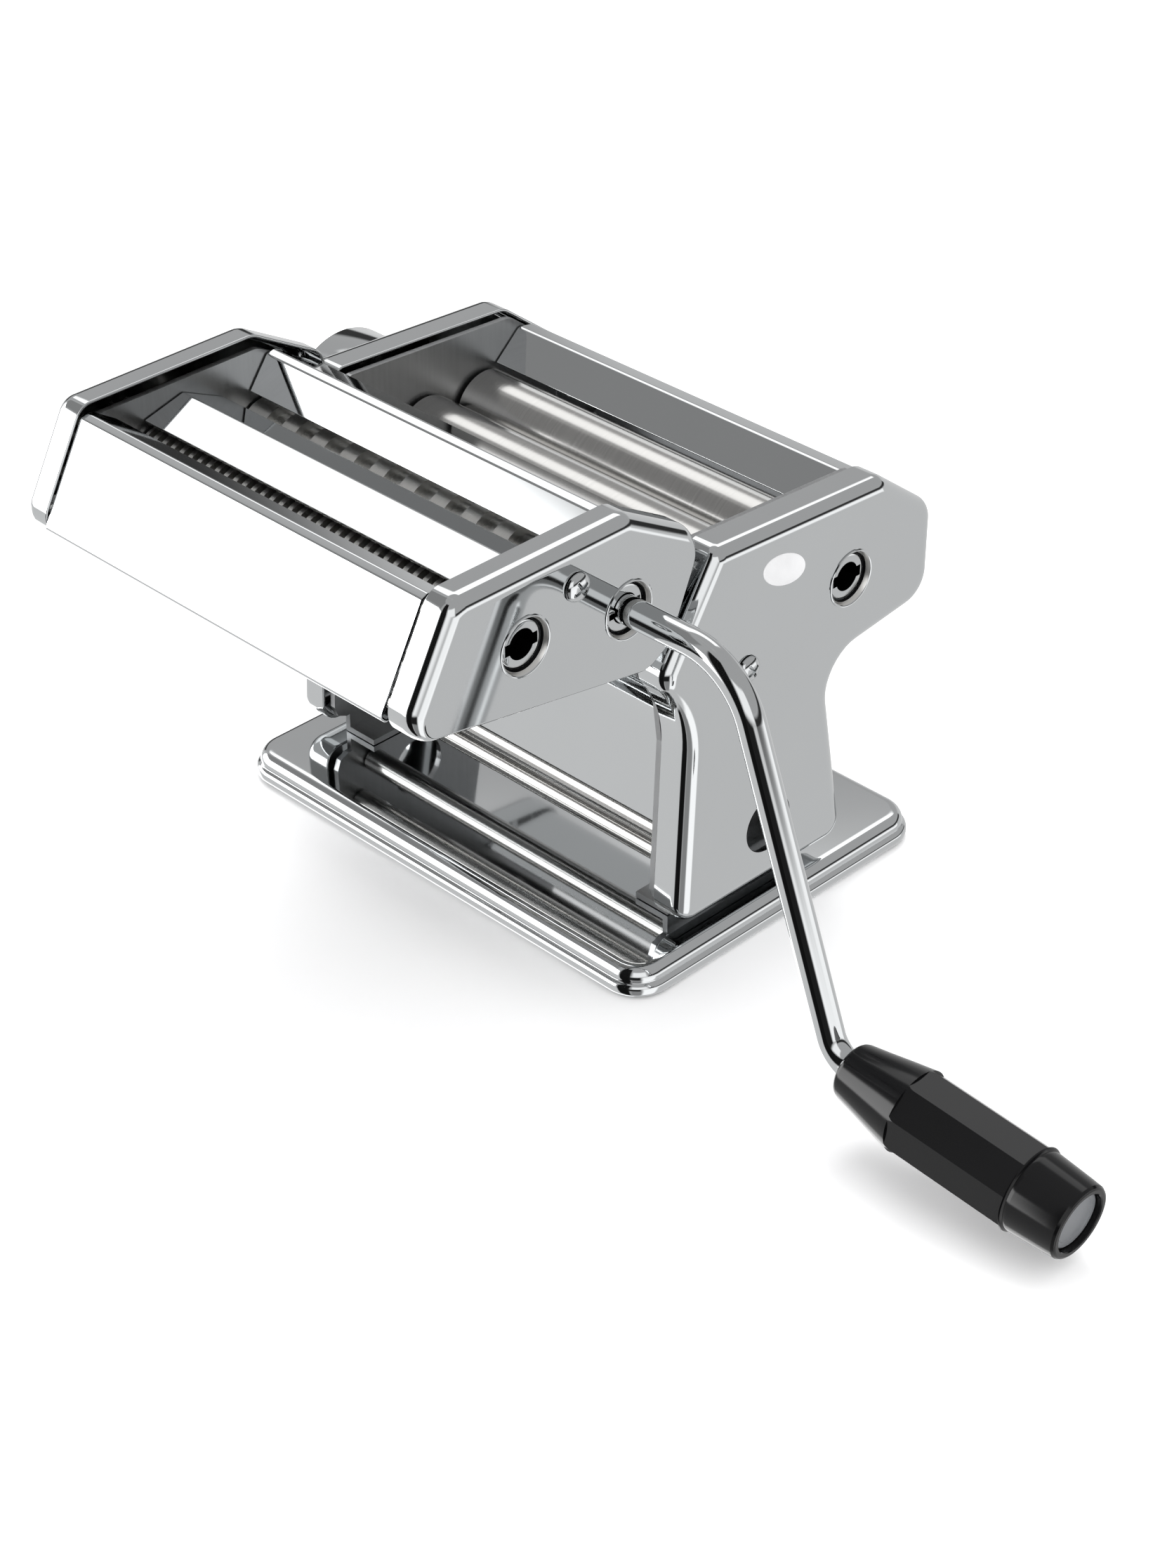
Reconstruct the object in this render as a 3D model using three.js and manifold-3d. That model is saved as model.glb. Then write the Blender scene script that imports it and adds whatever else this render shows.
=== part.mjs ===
// Hand-cranked pasta roller machine with a clip-on two-way cutter head.
// Millimetres. X runs along the rollers (+X is the crank side), -Y is the front, +Z is up.
// Pieces are laid out from the middle of the base tray, on the table.
import * as THREE from 'three';
import { mergeVertices } from 'three/addons/utils/BufferGeometryUtils.js';
import Module from 'manifold-3d';

const wasm = await Module();
wasm.setup();

// ---- driving dimensions -------------------------------------------------------------------
const GAP = 0.3; // clearance between pieces that touch
const SHEET = 1.2; // pressed sheet steel
const PLATE = 2; // inner side plates

// Cheek outlines are (y, z, corner radius, edge inset): the corner, then how much of the pressed
// bend the edge that starts there has (1 is a full flange, 0 is a plain cut edge).
const CHEEK = {
  rim: 75, // half distance between the flange rims
  face: 87.1, // half distance over the outer faces
  bend: 5,
  outline: [
    [-29.4, 141.1, 5, 1],
    [42.6, 137, 8, 1],
    [67, 118.6, 9, 1],
    [67, 87.1, 11, 1],
    [20.3, 81.6, 13, 1],
    [32.3, 15, 7, 1],
    [-42.6, 15, 7, 1],
    [-39.4, 89.3, 38, 1],
    [-51.8, 105.1, 7, 1],
  ],
};
const CUTTER = {
  rim: 73.5,
  face: 84.2,
  bend: 5,
  outline: [
    [-128.5, 165, 7, 1],
    [-63, 165, 9, 1],
    [-33.5, 148.5, 8, 0.1],
    [-37.8, 137, 8, 0.1],
    [-46.8, 116, 4, 0.5],
    [-55, 111.2, 9, 1],
    [-148.5, 127.4, 8, 1],
  ],
};
const BASE = { halfX: 91, front: -65, back: 66, low: 0.8, top: 9.7, corner: 12 };
const ROLLER = { r: 12.6, half: 70.5, z: 108.6, drive: 28.5, idle: 2.5, teeth: 12 };
const OPENING = 2.4; // travel of the idle roller from its closed to its open setting
const CUT = {
  r: 9, half: 70.3, journal: 4, teeth: 10,
  fine: [[-103.4, 141.1], [-121.6, 143.2]], // driven, idle: (y, z)
  wide: [[-63.5, 135.5], [-81.6, 138]],
};
const KNOB = { r: 23, inner: -90.5, outer: -112, y: ROLLER.idle - OPENING / 2, pull: 5 };
const ROD_R = 4.35; // crank rod
const CRANK = {
  y: CUT.wide[0][0], z: CUT.wide[0][1], start: 78.5,
  shoulder: [124.7, 135.5], elbow: [166.8, 23.6], shoulderR: 25, elbowR: 12,
  gripTilt: -0.0814, // slope of the grip's axis along X
  gripStart: 172.3, gripLength: 82.5, gripR: 13.5,
};

// ---- materials ----------------------------------------------------------------------------
const chrome = () => new THREE.MeshStandardMaterial({ color: 0xd4d6d8, roughness: 0.12, metalness: 1 });
const steel = () => new THREE.MeshStandardMaterial({ color: 0xa9abad, roughness: 0.35, metalness: 1 });
const brass = () => new THREE.MeshStandardMaterial({ color: 0xb08d4a, roughness: 0.35, metalness: 1 });
const blackPlastic = () =>
  new THREE.MeshStandardMaterial({ color: 0x141415, roughness: 0.25, metalness: 0 });
const rubber = () => new THREE.MeshStandardMaterial({ color: 0x1b1b1b, roughness: 0.85, metalness: 0 });
const greyPlastic = () =>
  new THREE.MeshStandardMaterial({ color: 0x8d8f92, roughness: 0.5, metalness: 0 });

const machine = new THREE.Group();
const add = (name, geometry, material) => {
  const mesh = new THREE.Mesh(geometry, material);
  mesh.name = name;
  machine.add(mesh);
  return mesh;
};

// ---- solids -------------------------------------------------------------------------------
function merged(geometry) {
  const bare = geometry.clone();
  bare.deleteAttribute('normal');
  bare.deleteAttribute('uv');
  return mergeVertices(bare, 1e-4);
}
function solid(geometry) {
  const g = merged(geometry);
  return new wasm.Manifold(new wasm.Mesh({
    numProp: 3,
    vertProperties: new Float32Array(g.attributes.position.array),
    triVerts: new Uint32Array(g.index.array),
  }));
}
function geometryOf(manifold) {
  const mesh = manifold.getMesh();
  const g = new THREE.BufferGeometry();
  g.setAttribute('position', new THREE.BufferAttribute(new Float32Array(mesh.vertProperties), 3));
  g.setIndex(new THREE.BufferAttribute(new Uint32Array(mesh.triVerts), 1));
  g.computeVertexNormals();
  return g;
}
const cut = (geometry, ...tools) =>
  geometryOf(tools.reduce((body, tool) => body.subtract(solid(tool)), solid(geometry)));
const join = (geometry, ...others) =>
  geometryOf(others.reduce((body, other) => body.add(solid(other)), solid(geometry)));

// A box from its two corners.
function box(x0, x1, y0, y1, z0, z1) {
  const g = new THREE.BoxGeometry(x1 - x0, y1 - y0, z1 - z0);
  return g.translate((x0 + x1) / 2, (y0 + y1) / 2, (z0 + z1) / 2);
}
// A turned piece about an axis along X: profile is (radius, x) pairs, closed on itself or the axis.
function turned(profile, y, z, sides = 24) {
  const points = profile.map(([r, x]) => new THREE.Vector2(r, x));
  if (profile[0][0] > 0) points.push(points[0].clone());
  const g = new THREE.LatheGeometry(points, sides);
  g.rotateZ(-Math.PI / 2); // the lathe's own axis, Y, becomes X
  return g.translate(0, y, z);
}
const rod = (r, x0, x1, y, z, sides = 24) => turned([[0, x0], [r, x0], [r, x1], [0, x1]], y, z, sides);
const tube = (rIn, rOut, x0, x1, y, z, sides = 24) =>
  turned([[rIn, x0], [rOut, x0], [rOut, x1], [rIn, x1]], y, z, sides);

// The outline moved inwards by inset, with its corners rounded. Every inset gives as many points.
function insetOutline(corners, inset, arcSteps = 3) {
  const n = corners.length;
  const lines = corners.map(([y, z, , share], i) => {
    const [y1, z1] = corners[(i + 1) % n];
    const length = Math.hypot(y1 - y, z1 - z);
    const dir = [(y1 - y) / length, (z1 - z) / length];
    const normal = [dir[1], -dir[0]]; // to the right of a clockwise outline: inwards
    const d = inset(share);
    return { at: [y + normal[0] * d, z + normal[1] * d], dir, d };
  });
  const points = [];
  lines.forEach((line, i) => {
    const before = lines[(i + n - 1) % n];
    const cross = before.dir[0] * line.dir[1] - before.dir[1] * line.dir[0];
    const dy = line.at[0] - before.at[0];
    const dz = line.at[1] - before.at[1];
    const t = (dy * line.dir[1] - dz * line.dir[0]) / cross;
    const corner = [before.at[0] + before.dir[0] * t, before.at[1] + before.dir[1] * t];
    const turn = Math.asin(Math.min(1, Math.max(-1, cross)));
    const angle = Math.abs(before.dir[0] * line.dir[0] + before.dir[1] * line.dir[1] < 0
      ? Math.PI - Math.abs(turn) : turn);
    const shift = (before.d + line.d) / 2;
    const radius = Math.max(0.4, cross < 0 ? corners[i][2] - shift : corners[i][2] + shift);
    const reach = radius * Math.tan(angle / 2);
    const start = [corner[0] - before.dir[0] * reach, corner[1] - before.dir[1] * reach];
    const side = cross < 0 ? 1 : -1;
    const centre = [start[0] + before.dir[1] * radius * side, start[1] - before.dir[0] * radius * side];
    for (let s = 0; s <= arcSteps; s++) {
      const a = (-side * angle * s) / arcSteps;
      const ry = start[0] - centre[0];
      const rz = start[1] - centre[1];
      points.push([
        centre[0] + ry * Math.cos(a) - rz * Math.sin(a),
        centre[1] + ry * Math.sin(a) + rz * Math.cos(a),
      ]);
    }
  });
  return points;
}
// A closed skin over a stack of rings with equal point counts; the first and last are capped.
function skin(rings) {
  const count = rings[0].length;
  const position = rings.flat(2);
  const index = [];
  rings.slice(1).forEach((_, r) => {
    for (let i = 0; i < count; i++) {
      const a = r * count + i;
      const b = r * count + ((i + 1) % count);
      index.push(a, b, a + count, b, b + count, a + count);
    }
  });
  const capFlat = (ring) => {
    const spread = [0, 1, 2].map((k) => {
      const v = ring.map((p) => p[k]);
      return Math.max(...v) - Math.min(...v);
    });
    const flat = spread.indexOf(Math.min(...spread));
    const [u, v] = [0, 1, 2].filter((k) => k !== flat);
    const contour = ring.map((p) => new THREE.Vector2(p[u], p[v]));
    const faces = THREE.ShapeUtils.triangulateShape(contour, []);
    const ccw = THREE.ShapeUtils.isClockWise(contour) ? -1 : 1;
    return faces.map((f) => (ccw > 0 ? f : [f[0], f[2], f[1]]));
  };
  const first = capFlat(rings[0]);
  const last = capFlat(rings[rings.length - 1]);
  const offset = (rings.length - 1) * count;
  // Each cap runs against the walls it closes.
  const edge = new Set();
  for (let i = 0; i < count; i++) edge.add(`${i},${(i + 1) % count}`);
  const follows = (faces) => faces.some((f) => f.some((p, k) => edge.has(`${p},${f[(k + 1) % 3]}`)));
  first.forEach((f) => index.push(...(follows(first) ? [f[0], f[2], f[1]] : f)));
  last.forEach((f) => index.push(...(follows(last) ? f : [f[0], f[2], f[1]]).map((i) => i + offset)));
  const g = new THREE.BufferGeometry();
  g.setAttribute('position', new THREE.BufferAttribute(new Float32Array(position), 3));
  g.setIndex(index);
  if (signedVolume(g) < 0) {
    for (let i = 0; i < index.length; i += 3) [index[i], index[i + 1]] = [index[i + 1], index[i]];
    g.setIndex(index);
  }
  g.computeVertexNormals();
  return g;
}
function signedVolume(g) {
  const p = g.attributes.position;
  const at = (i) => new THREE.Vector3().fromBufferAttribute(p, i);
  let volume = 0;
  for (let i = 0; i < g.index.count; i += 3) {
    const [a, b, c] = [0, 1, 2].map((k) => at(g.index.getX(i + k)));
    volume += a.dot(b.cross(c)) / 6;
  }
  return volume;
}
// A cheek pressed from sheet: a flat face with its edge bent inwards all round.
function pressedCheek({ outline, rim, face, bend }, side) {
  const bendSteps = 2;
  const ring = (x, inset, extra) =>
    insetOutline(outline, (share) => inset * share + extra).map(([y, z]) => [side * x, y, z]);
  const outer = [ring(rim, 0, 0)];
  const inner = [ring(rim, 0, SHEET)];
  for (let s = 0; s <= bendSteps; s++) {
    const a = (s / bendSteps) * (Math.PI / 2);
    outer.push(ring(face - bend + bend * Math.sin(a), bend * (1 - Math.cos(a)), 0));
    const r = bend - SHEET;
    inner.push(ring(face - bend + r * Math.sin(a), r * (1 - Math.cos(a)), SHEET));
  }
  return skin([...inner.reverse(), ...outer]);
}
// A flat plate across X with the same outline, set in all round.
function sidePlate({ outline }, inset, x0, x1) {
  const points = insetOutline(outline, () => inset, 2);
  return skin([points.map(([y, z]) => [x0, y, z]), points.map(([y, z]) => [x1, y, z])]);
}
// A folded sheet that runs along X: path is the fold line seen from the side.
function foldedSheet(path, thickness, halfLength) {
  const offset = (side) => path.map(([y, z], i) => {
    const a = path[Math.max(i - 1, 0)];
    const b = path[Math.min(i + 1, path.length - 1)];
    const d1 = new THREE.Vector2(y - a[0], z - a[1]);
    const d2 = new THREE.Vector2(b[0] - y, b[1] - z);
    if (i === 0) d1.copy(d2);
    if (i === path.length - 1) d2.copy(d1);
    d1.normalize();
    d2.normalize();
    const mid = d1.clone().add(d2).normalize();
    const stretch = thickness / 2 / Math.max(0.5, mid.dot(d2));
    return [y - side * mid.y * stretch, z + side * mid.x * stretch];
  });
  const loop = [...offset(1), ...offset(-1).reverse()];
  return skin([-halfLength, halfLength].map((x) => loop.map(([y, z]) => [x, y, z])));
}
// Points on an arc, for folds with a large radius.
function arc(cy, cz, r, from, to, steps) {
  return Array.from({ length: steps + 1 }, (_, i) => {
    const a = THREE.MathUtils.degToRad(from + ((to - from) * i) / steps);
    return [cy + r * Math.cos(a), cz + r * Math.sin(a)];
  });
}
// A spur gear about X. phase is the direction, in radians from +Y, of one tooth's middle.
function gear({ teeth, module, x0, x1, y, z, phase, bore, addendum = 0.8, dedendum = 1.1 }) {
  const pitchR = (teeth * module) / 2;
  const pressure = THREE.MathUtils.degToRad(25);
  const baseR = pitchR * Math.cos(pressure);
  const involute = (a) => Math.tan(a) - a;
  const backlash = 0.12 * module;
  const half = Math.PI / 2 / teeth - backlash / 2 / pitchR;
  const halfAt = (r) => {
    const a = Math.acos(Math.min(1, baseR / Math.max(r, baseR)));
    return half + involute(pressure) - involute(a);
  };
  const rootR = pitchR - dedendum * module;
  const tipR = pitchR + addendum * module;
  const flank = [rootR, Math.max(baseR, rootR + 0.2) + 0.4, tipR];
  const shape = new THREE.Shape();
  for (let t = 0; t < teeth; t++) {
    const middle = phase + (t * 2 * Math.PI) / teeth;
    const side = (s) => flank.map((r) => [r, middle + s * halfAt(r)]);
    [...side(-1), ...side(1).reverse()].forEach(([r, a], i) => {
      const p = [r * Math.cos(a), r * Math.sin(a)];
      if (t === 0 && i === 0) shape.moveTo(...p);
      else shape.lineTo(...p);
    });
  }
  shape.closePath();
  const hole = new THREE.Path();
  hole.absarc(0, 0, bore / Math.cos(Math.PI / 12), 0, 2 * Math.PI, true);
  shape.holes.push(hole);
  const g = new THREE.ExtrudeGeometry(shape, { depth: x1 - x0, bevelEnabled: false, curveSegments: 6 });
  // The shape's x and y become the machine's Y and Z, and the extrusion runs along X.
  g.applyMatrix4(new THREE.Matrix4().set(0, 0, 1, x0, 1, 0, 0, y, 0, 1, 0, z, 0, 0, 0, 1));
  return g;
}
// A short tube whose round hole is crossed by a slot, for the crank's end and its cross pin.
const SOCKET = { r: 7.2, hole: 4.7, slotReach: 6.1, slotHalf: 1.8, recess: 1.6 };
function pinSocket(x0, floor, face, y, z) {
  const { r, hole, slotReach, slotHalf, recess } = SOCKET;
  const x1 = face - recess;
  return cut(rod(r, x0, x1, y, z, 20), rod(hole, floor, x1 + 1, y, z, 20),
    box(floor, x1 + 1, y - slotReach, y + slotReach, z - slotHalf, z + slotHalf));
}
const mirrorName = (side) => (side > 0 ? 'crank_side' : 'knob_side');

// ---- base ---------------------------------------------------------------------------------
function baseTray() {
  const { halfX, front, back, low, top, corner } = BASE;
  const corners = [[-halfX, front], [-halfX, back], [halfX, back], [halfX, front]]
    .map(([x, y]) => [x, y, corner, 1]);
  const ring = (inset, z) => insetOutline(corners, () => inset, 4).map(([x, y]) => [x, y, z]);
  const profile = [[0.8, low], [0, low + 1.2], [0, low + 3], [1.3, low + 4], [1.3, low + 4.6],
    [2, low + 7.2], [4.2, top]];
  const outer = profile.map(([inset, z]) => ring(inset, z));
  const inner = profile.map(([inset, z], i) => ring(inset + SHEET, i === 0 ? z : z - SHEET / 2));
  inner[inner.length - 1] = ring(profile[profile.length - 1][0] + SHEET, top - SHEET);
  return skin([...inner.reverse(), ...outer]);
}
add('base_tray', baseTray(), chrome());
const FOOT = { r: 7, x: 78, front: -52, back: 53 };
for (const [end, y] of [['front', FOOT.front], ['back', FOOT.back]]) {
  for (const side of [1, -1]) {
    const foot = new THREE.CylinderGeometry(FOOT.r, FOOT.r + 1, BASE.top - SHEET - GAP, 16);
    foot.rotateX(Math.PI / 2).translate(side * FOOT.x, y, (BASE.top - SHEET - GAP) / 2);
    add(`foot_${end}_${mirrorName(side)}`, foot, rubber());
  }
}

// ---- frame: cheeks, side plates and what joins them ---------------------------------------
const CLAMP_HOLE = { y: -4.6, z: 36.3, r: 9.7 };
const SCREW = { y: -16.4, z: 96.7 };
const BEZEL_R = 9;
const DETENT = { r: 17, count: 10, pin: 1.4, hole: 1.9 };
const alongX = (r, x0, x1, y, z, sides = 16) => rod(r, x0, x1, y, z, sides);

for (const side of [1, -1]) {
  const through = [side * (CHEEK.face - 4), side * (CHEEK.face + 4)].sort((a, b) => a - b);
  const holes = [
    alongX(CLAMP_HOLE.r, ...through, CLAMP_HOLE.y, CLAMP_HOLE.z, 24),
    alongX(2.3, ...through, SCREW.y, SCREW.z, 10),
  ];
  if (side > 0) holes.push(alongX(BEZEL_R + GAP, ...through, ROLLER.drive, ROLLER.z, 20));
  else {
    holes.push(alongX(6.6, ...through, KNOB.y, ROLLER.z, 16));
    for (let i = 0; i < DETENT.count; i++) {
      const a = (i * Math.PI) / (DETENT.count - 1);
      holes.push(alongX(DETENT.hole, ...through, KNOB.y + DETENT.r * Math.sin(a),
        ROLLER.z + DETENT.r * Math.cos(a), 8));
    }
  }
  add(`cheek_${mirrorName(side)}`, cut(pressedCheek(CHEEK, side), ...holes), chrome());

  const plateX = [side * 71.5, side * (71.5 + PLATE)].sort((a, b) => a - b);
  const bores = [
    alongX(8.3, plateX[0] - 1, plateX[1] + 1, ROLLER.drive, ROLLER.z, 20),
    alongX(CLAMP_HOLE.r + 1, plateX[0] - 1, plateX[1] + 1, CLAMP_HOLE.y, CLAMP_HOLE.z, 24),
    alongX(side > 0 ? 4.5 : 10.9, plateX[0] - 1, plateX[1] + 1, KNOB.y, ROLLER.z, 20),
  ];
  const footX = [side * 60, side * (71.5 + PLATE)].sort((a, b) => a - b);
  const plate = join(
    sidePlate(CHEEK, 2, ...plateX),
    box(...plateX, -34, 24, BASE.top + GAP, 20),
    box(...footX, -34, 24, BASE.top + GAP, BASE.top + GAP + PLATE),
  );
  add(`side_plate_${mirrorName(side)}`, cut(plate, ...bores), steel());
  const screwX = [side * (CHEEK.face - 12), side * (CHEEK.face + GAP)];
  const head = turned([[0, screwX[0]], [2, screwX[0]], [2, screwX[1]], [4.4, screwX[1]],
    [4.1, screwX[1] + side * 1.2], [2.6, screwX[1] + side * 2], [0, screwX[1] + side * 2.2]],
  SCREW.y, SCREW.z, 12);
  const slotX = [screwX[1] + side * 1.3, screwX[1] + side * 4].sort((a, b) => a - b);
  add(`cheek_screw_${mirrorName(side)}`, cut(
    side > 0 ? head : flipped(head),
    box(...slotX, SCREW.y - 2.4, SCREW.y + 2.4, SCREW.z - 0.5, SCREW.z + 0.5),
    box(...slotX, SCREW.y - 0.5, SCREW.y + 0.5, SCREW.z - 2.4, SCREW.z + 2.4),
  ), chrome());
}
// Turns a geometry's faces over, for profiles that were run the other way.
function flipped(g) {
  const index = Array.from(g.index.array);
  for (let i = 0; i < index.length; i += 3) [index[i], index[i + 1]] = [index[i + 1], index[i]];
  const copy = g.clone();
  copy.setIndex(index);
  return copy;
}
const SPAN = 71.2; // half length of what sits between the side plates
add('hopper_tray', foldedSheet(
  [[35.2, 121.2], [45.5, 130.3], [51.5, 129.2], [54, 124.5]], 1, SPAN), chrome());
add('rear_apron', foldedSheet(
  [[62.8, 116], [62.8, 92], ...arc(54.8, 92, 8, -15, -80, 4), [26, 85.4]], 1, SPAN), chrome());
add('front_apron', foldedSheet(
  [[-38.2, 46], ...arc(-72.8, 76.5, 36, 0, 45, 6)], 1, SPAN), chrome());
const TIE_RODS = { upper_front: [-31, 38], lower_front: [-25, 24], rear: [20, 30] };
for (const [name, [y, z]] of Object.entries(TIE_RODS)) {
  add(`tie_rod_${name}`, rod(4, -SPAN, SPAN, y, z, 20), steel());
}
add('scraper_drive', foldedSheet([[46, 88], [36.4, 96.4]], 0.8, SPAN - 2), steel());
add('scraper_idle', foldedSheet([[-18, 86], [-8, 94.6]], 0.8, SPAN - 2), steel());

// ---- smooth rollers -----------------------------------------------------------------------
const roller = (r, half, journal, x0, x1, y, z, sides) => turned([
  [0, x0], [journal, x0], [journal, -half], [r, -half], [r, half], [journal, half], [journal, x1],
  [0, x1]], y, z, sides);
const GEAR_X = [-83, -76];
const mainModule = (ROLLER.drive - ROLLER.idle) / ROLLER.teeth;
add('drive_roller', roller(ROLLER.r, ROLLER.half, 6, -83.5, 74.5, ROLLER.drive, ROLLER.z, 20), steel());
add('drive_gear', gear({ teeth: ROLLER.teeth, module: mainModule, x0: GEAR_X[0], x1: GEAR_X[1],
  y: ROLLER.drive, z: ROLLER.z, phase: Math.PI, bore: 6 + GAP }), steel());
add('drive_socket', pinSocket(74.5 + GAP, 77.9, CHEEK.face, ROLLER.drive, ROLLER.z), steel());
for (const side of [1, -1]) {
  const x = [side * 70.9, side * 74.2].sort((a, b) => a - b);
  add(`drive_bush_${mirrorName(side)}`, tube(6 + GAP, 8, ...x, ROLLER.drive, ROLLER.z, 20), brass());
}
const bezel = (rIn, face, y, z) => turned([[rIn, face - 1.6], [BEZEL_R, face - 1.6],
  [BEZEL_R, face + 0.2], [BEZEL_R - 0.25, face + 0.5], [rIn + 0.25, face + 0.5], [rIn, face + 0.2]],
y, z, 16);
add('drive_bezel', bezel(8.2, CHEEK.face, ROLLER.drive, ROLLER.z), chrome());

// The idle roller is hollow: it runs on two bushes about the eccentric shaft.
const CORE = { shaft: 4.2, bushIn: 5.6, bushOut: 7.4, bore: 5.6, neck: 8 };
add('idle_roller', turned([
  [CORE.bore, -83.4], [CORE.neck, -83.4], [CORE.neck, -ROLLER.half], [ROLLER.r, -ROLLER.half],
  [ROLLER.r, ROLLER.half], [CORE.bushOut + GAP, ROLLER.half], [CORE.bushOut + GAP, 58],
  [CORE.bore, 58], [CORE.bore, -56], [CORE.bore + 0.4, -56], [CORE.bore + 0.4, -70]],
ROLLER.idle, ROLLER.z, 20), steel());
add('idle_bush_crank_side',
  tube(CORE.bushIn, CORE.bushOut, 58 + GAP, ROLLER.half, ROLLER.idle, ROLLER.z, 20), brass());
add('idle_gear', gear({ teeth: ROLLER.teeth, module: mainModule, x0: GEAR_X[0], x1: GEAR_X[1],
  y: ROLLER.idle, z: ROLLER.z, phase: Math.PI / ROLLER.teeth, bore: CORE.neck + GAP,
  addendum: 0.9 }), steel());

// ---- thickness adjuster -------------------------------------------------------------------
function eccentricShaft() {
  const ecc = rod(CORE.shaft, -84, 70.8, ROLLER.idle, ROLLER.z, 16);
  const end = rod(4.2, 70.4, 75, KNOB.y, ROLLER.z, 16);
  const stem = rod(6.2, -109, -84.4, KNOB.y, ROLLER.z, 16);
  const web = rod(5.4, -85, -83.8, KNOB.y + 0.1, ROLLER.z, 16);
  return join(ecc, end, stem, web);
}
add('eccentric_shaft', eccentricShaft(), steel());
add('adjuster_washer', turned([[0, -111], [3.4, -111], [3.6, -110.6], [9.6, -110.6], [9.6, -109.3],
  [0, -109.3]], KNOB.y, ROLLER.z, 20), chrome());
function adjusterKnob() {
  const body = turned([
    [6.5, KNOB.inner], [21.8, KNOB.inner], [KNOB.r, KNOB.inner - 1.2], [KNOB.r, KNOB.outer + 3],
    [KNOB.r - 2.4, KNOB.outer + 0.4], [13.2, KNOB.outer], [12, KNOB.outer + 1], [12, -100.6],
    [6.5, -100.6]], KNOB.y, ROLLER.z, 20);
  const pin = rod(DETENT.pin, KNOB.inner - 0.5, -87.4, KNOB.y, ROLLER.z + DETENT.r, 8);
  return join(flipped(body), pin);
}
add('adjuster_knob', adjusterKnob(), chrome());
const TURN_STEPS = 8;
function coilSpring(r, wire, x0, x1, turns) {
  const points = Array.from({ length: turns * TURN_STEPS + 1 }, (_, i) => {
    const a = (i / TURN_STEPS) * 2 * Math.PI;
    const x = THREE.MathUtils.lerp(x0, x1, i / (turns * TURN_STEPS));
    return new THREE.Vector3(x, KNOB.y + r * Math.cos(a), ROLLER.z + r * Math.sin(a));
  });
  const section = new THREE.Shape();
  for (let i = 0; i < 5; i++) {
    const a = (i * 2 * Math.PI) / 5;
    if (i === 0) section.moveTo(wire, 0);
    else section.lineTo(wire * Math.cos(a), wire * Math.sin(a));
  }
  section.closePath();
  return new THREE.ExtrudeGeometry(section, {
    steps: turns * TURN_STEPS, extrudePath: new THREE.CatmullRomCurve3(points) });
}
add('knob_spring', coilSpring(8.4, 0.6, -108.3, -101.7, 4), steel());

// ---- cutter head --------------------------------------------------------------------------
const CUTTER_SCREW = { y: -84, z: 151.5 };
for (const side of [1, -1]) {
  const through = [side * (CUTTER.face - 4), side * (CUTTER.face + 4)].sort((a, b) => a - b);
  const holes = [alongX(2.3, ...through, CUTTER_SCREW.y, CUTTER_SCREW.z, 10)];
  if (side > 0) {
    for (const [[y, z]] of [CUT.fine, CUT.wide]) holes.push(alongX(BEZEL_R + GAP, ...through, y, z, 20));
  }
  add(`cutter_cheek_${mirrorName(side)}`, cut(pressedCheek(CUTTER, side), ...holes), chrome());
  const plateX = [side * 71, side * 73].sort((a, b) => a - b);
  const bores = [...CUT.fine, ...CUT.wide]
    .map(([y, z]) => alongX(CUT.journal + GAP, plateX[0] - 1, plateX[1] + 1, y, z, 14));
  add(`cutter_plate_${mirrorName(side)}`, cut(sidePlate(CUTTER, 3.6, ...plateX), ...bores), steel());
}
{
  const x = CUTTER.face + GAP;
  add('cutter_screw', cut(
    turned([[0, x - 10], [2, x - 10], [2, x], [4.4, x], [4.1, x + 1.2], [2.6, x + 2], [0, x + 2.2]],
      CUTTER_SCREW.y, CUTTER_SCREW.z, 12),
    box(x + 1.3, x + 4, CUTTER_SCREW.y - 2.4, CUTTER_SCREW.y + 2.4, CUTTER_SCREW.z - 0.5,
      CUTTER_SCREW.z + 0.5),
    box(x + 1.3, x + 4, CUTTER_SCREW.y - 0.5, CUTTER_SCREW.y + 0.5, CUTTER_SCREW.z - 2.4,
      CUTTER_SCREW.z + 2.4)), chrome());
}
add('cutter_front_cover', foldedSheet(
  [[-117.6, 156.4], [-126.6, 161.7], [-128.6, 160.8], [-145.4, 129.6], [-143.6, 127.9], [-138, 128]],
  1, 70.6), chrome());
add('cutter_divider', foldedSheet(
  [[-109.2, 152.2], [-107.6, 153.4], [-93.4, 157], [-78.6, 150.2], [-77.2, 148.6]], 1, 70.6), chrome());
add('cutter_rear_guide', foldedSheet(
  [[-67.6, 148.4], [-60.5, 158.2], [-58, 158.8], [-38.4, 146.6], [-37.6, 144.6], [-41.5, 134]],
  1, 70.6), chrome());
// A comb strips the dough from between a roller's ridges.
function comb(pitch, y0, y1, z, slope) {
  const half = 69;
  const shape = new THREE.Shape();
  const count = Math.floor((2 * half) / pitch);
  const start = -(count * pitch) / 2;
  shape.moveTo(-half, 0);
  for (let i = 0; i < count; i++) {
    const x = start + i * pitch;
    shape.lineTo(x + pitch * 0.25, 0);
    shape.lineTo(x + pitch * 0.25, y1 - y0);
    shape.lineTo(x + pitch * 0.75, y1 - y0);
    shape.lineTo(x + pitch * 0.75, 0);
  }
  shape.lineTo(half, 0);
  shape.lineTo(half, -4);
  shape.lineTo(-half, -4);
  shape.closePath();
  const g = new THREE.ExtrudeGeometry(shape, { depth: 0.8, bevelEnabled: false });
  return g.rotateX(slope).translate(0, y0, z);
}
const COMB_TILT = THREE.MathUtils.degToRad(-12);
add('comb_fine', comb(4, -131.5, -127, 133.6, COMB_TILT), steel());
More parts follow.
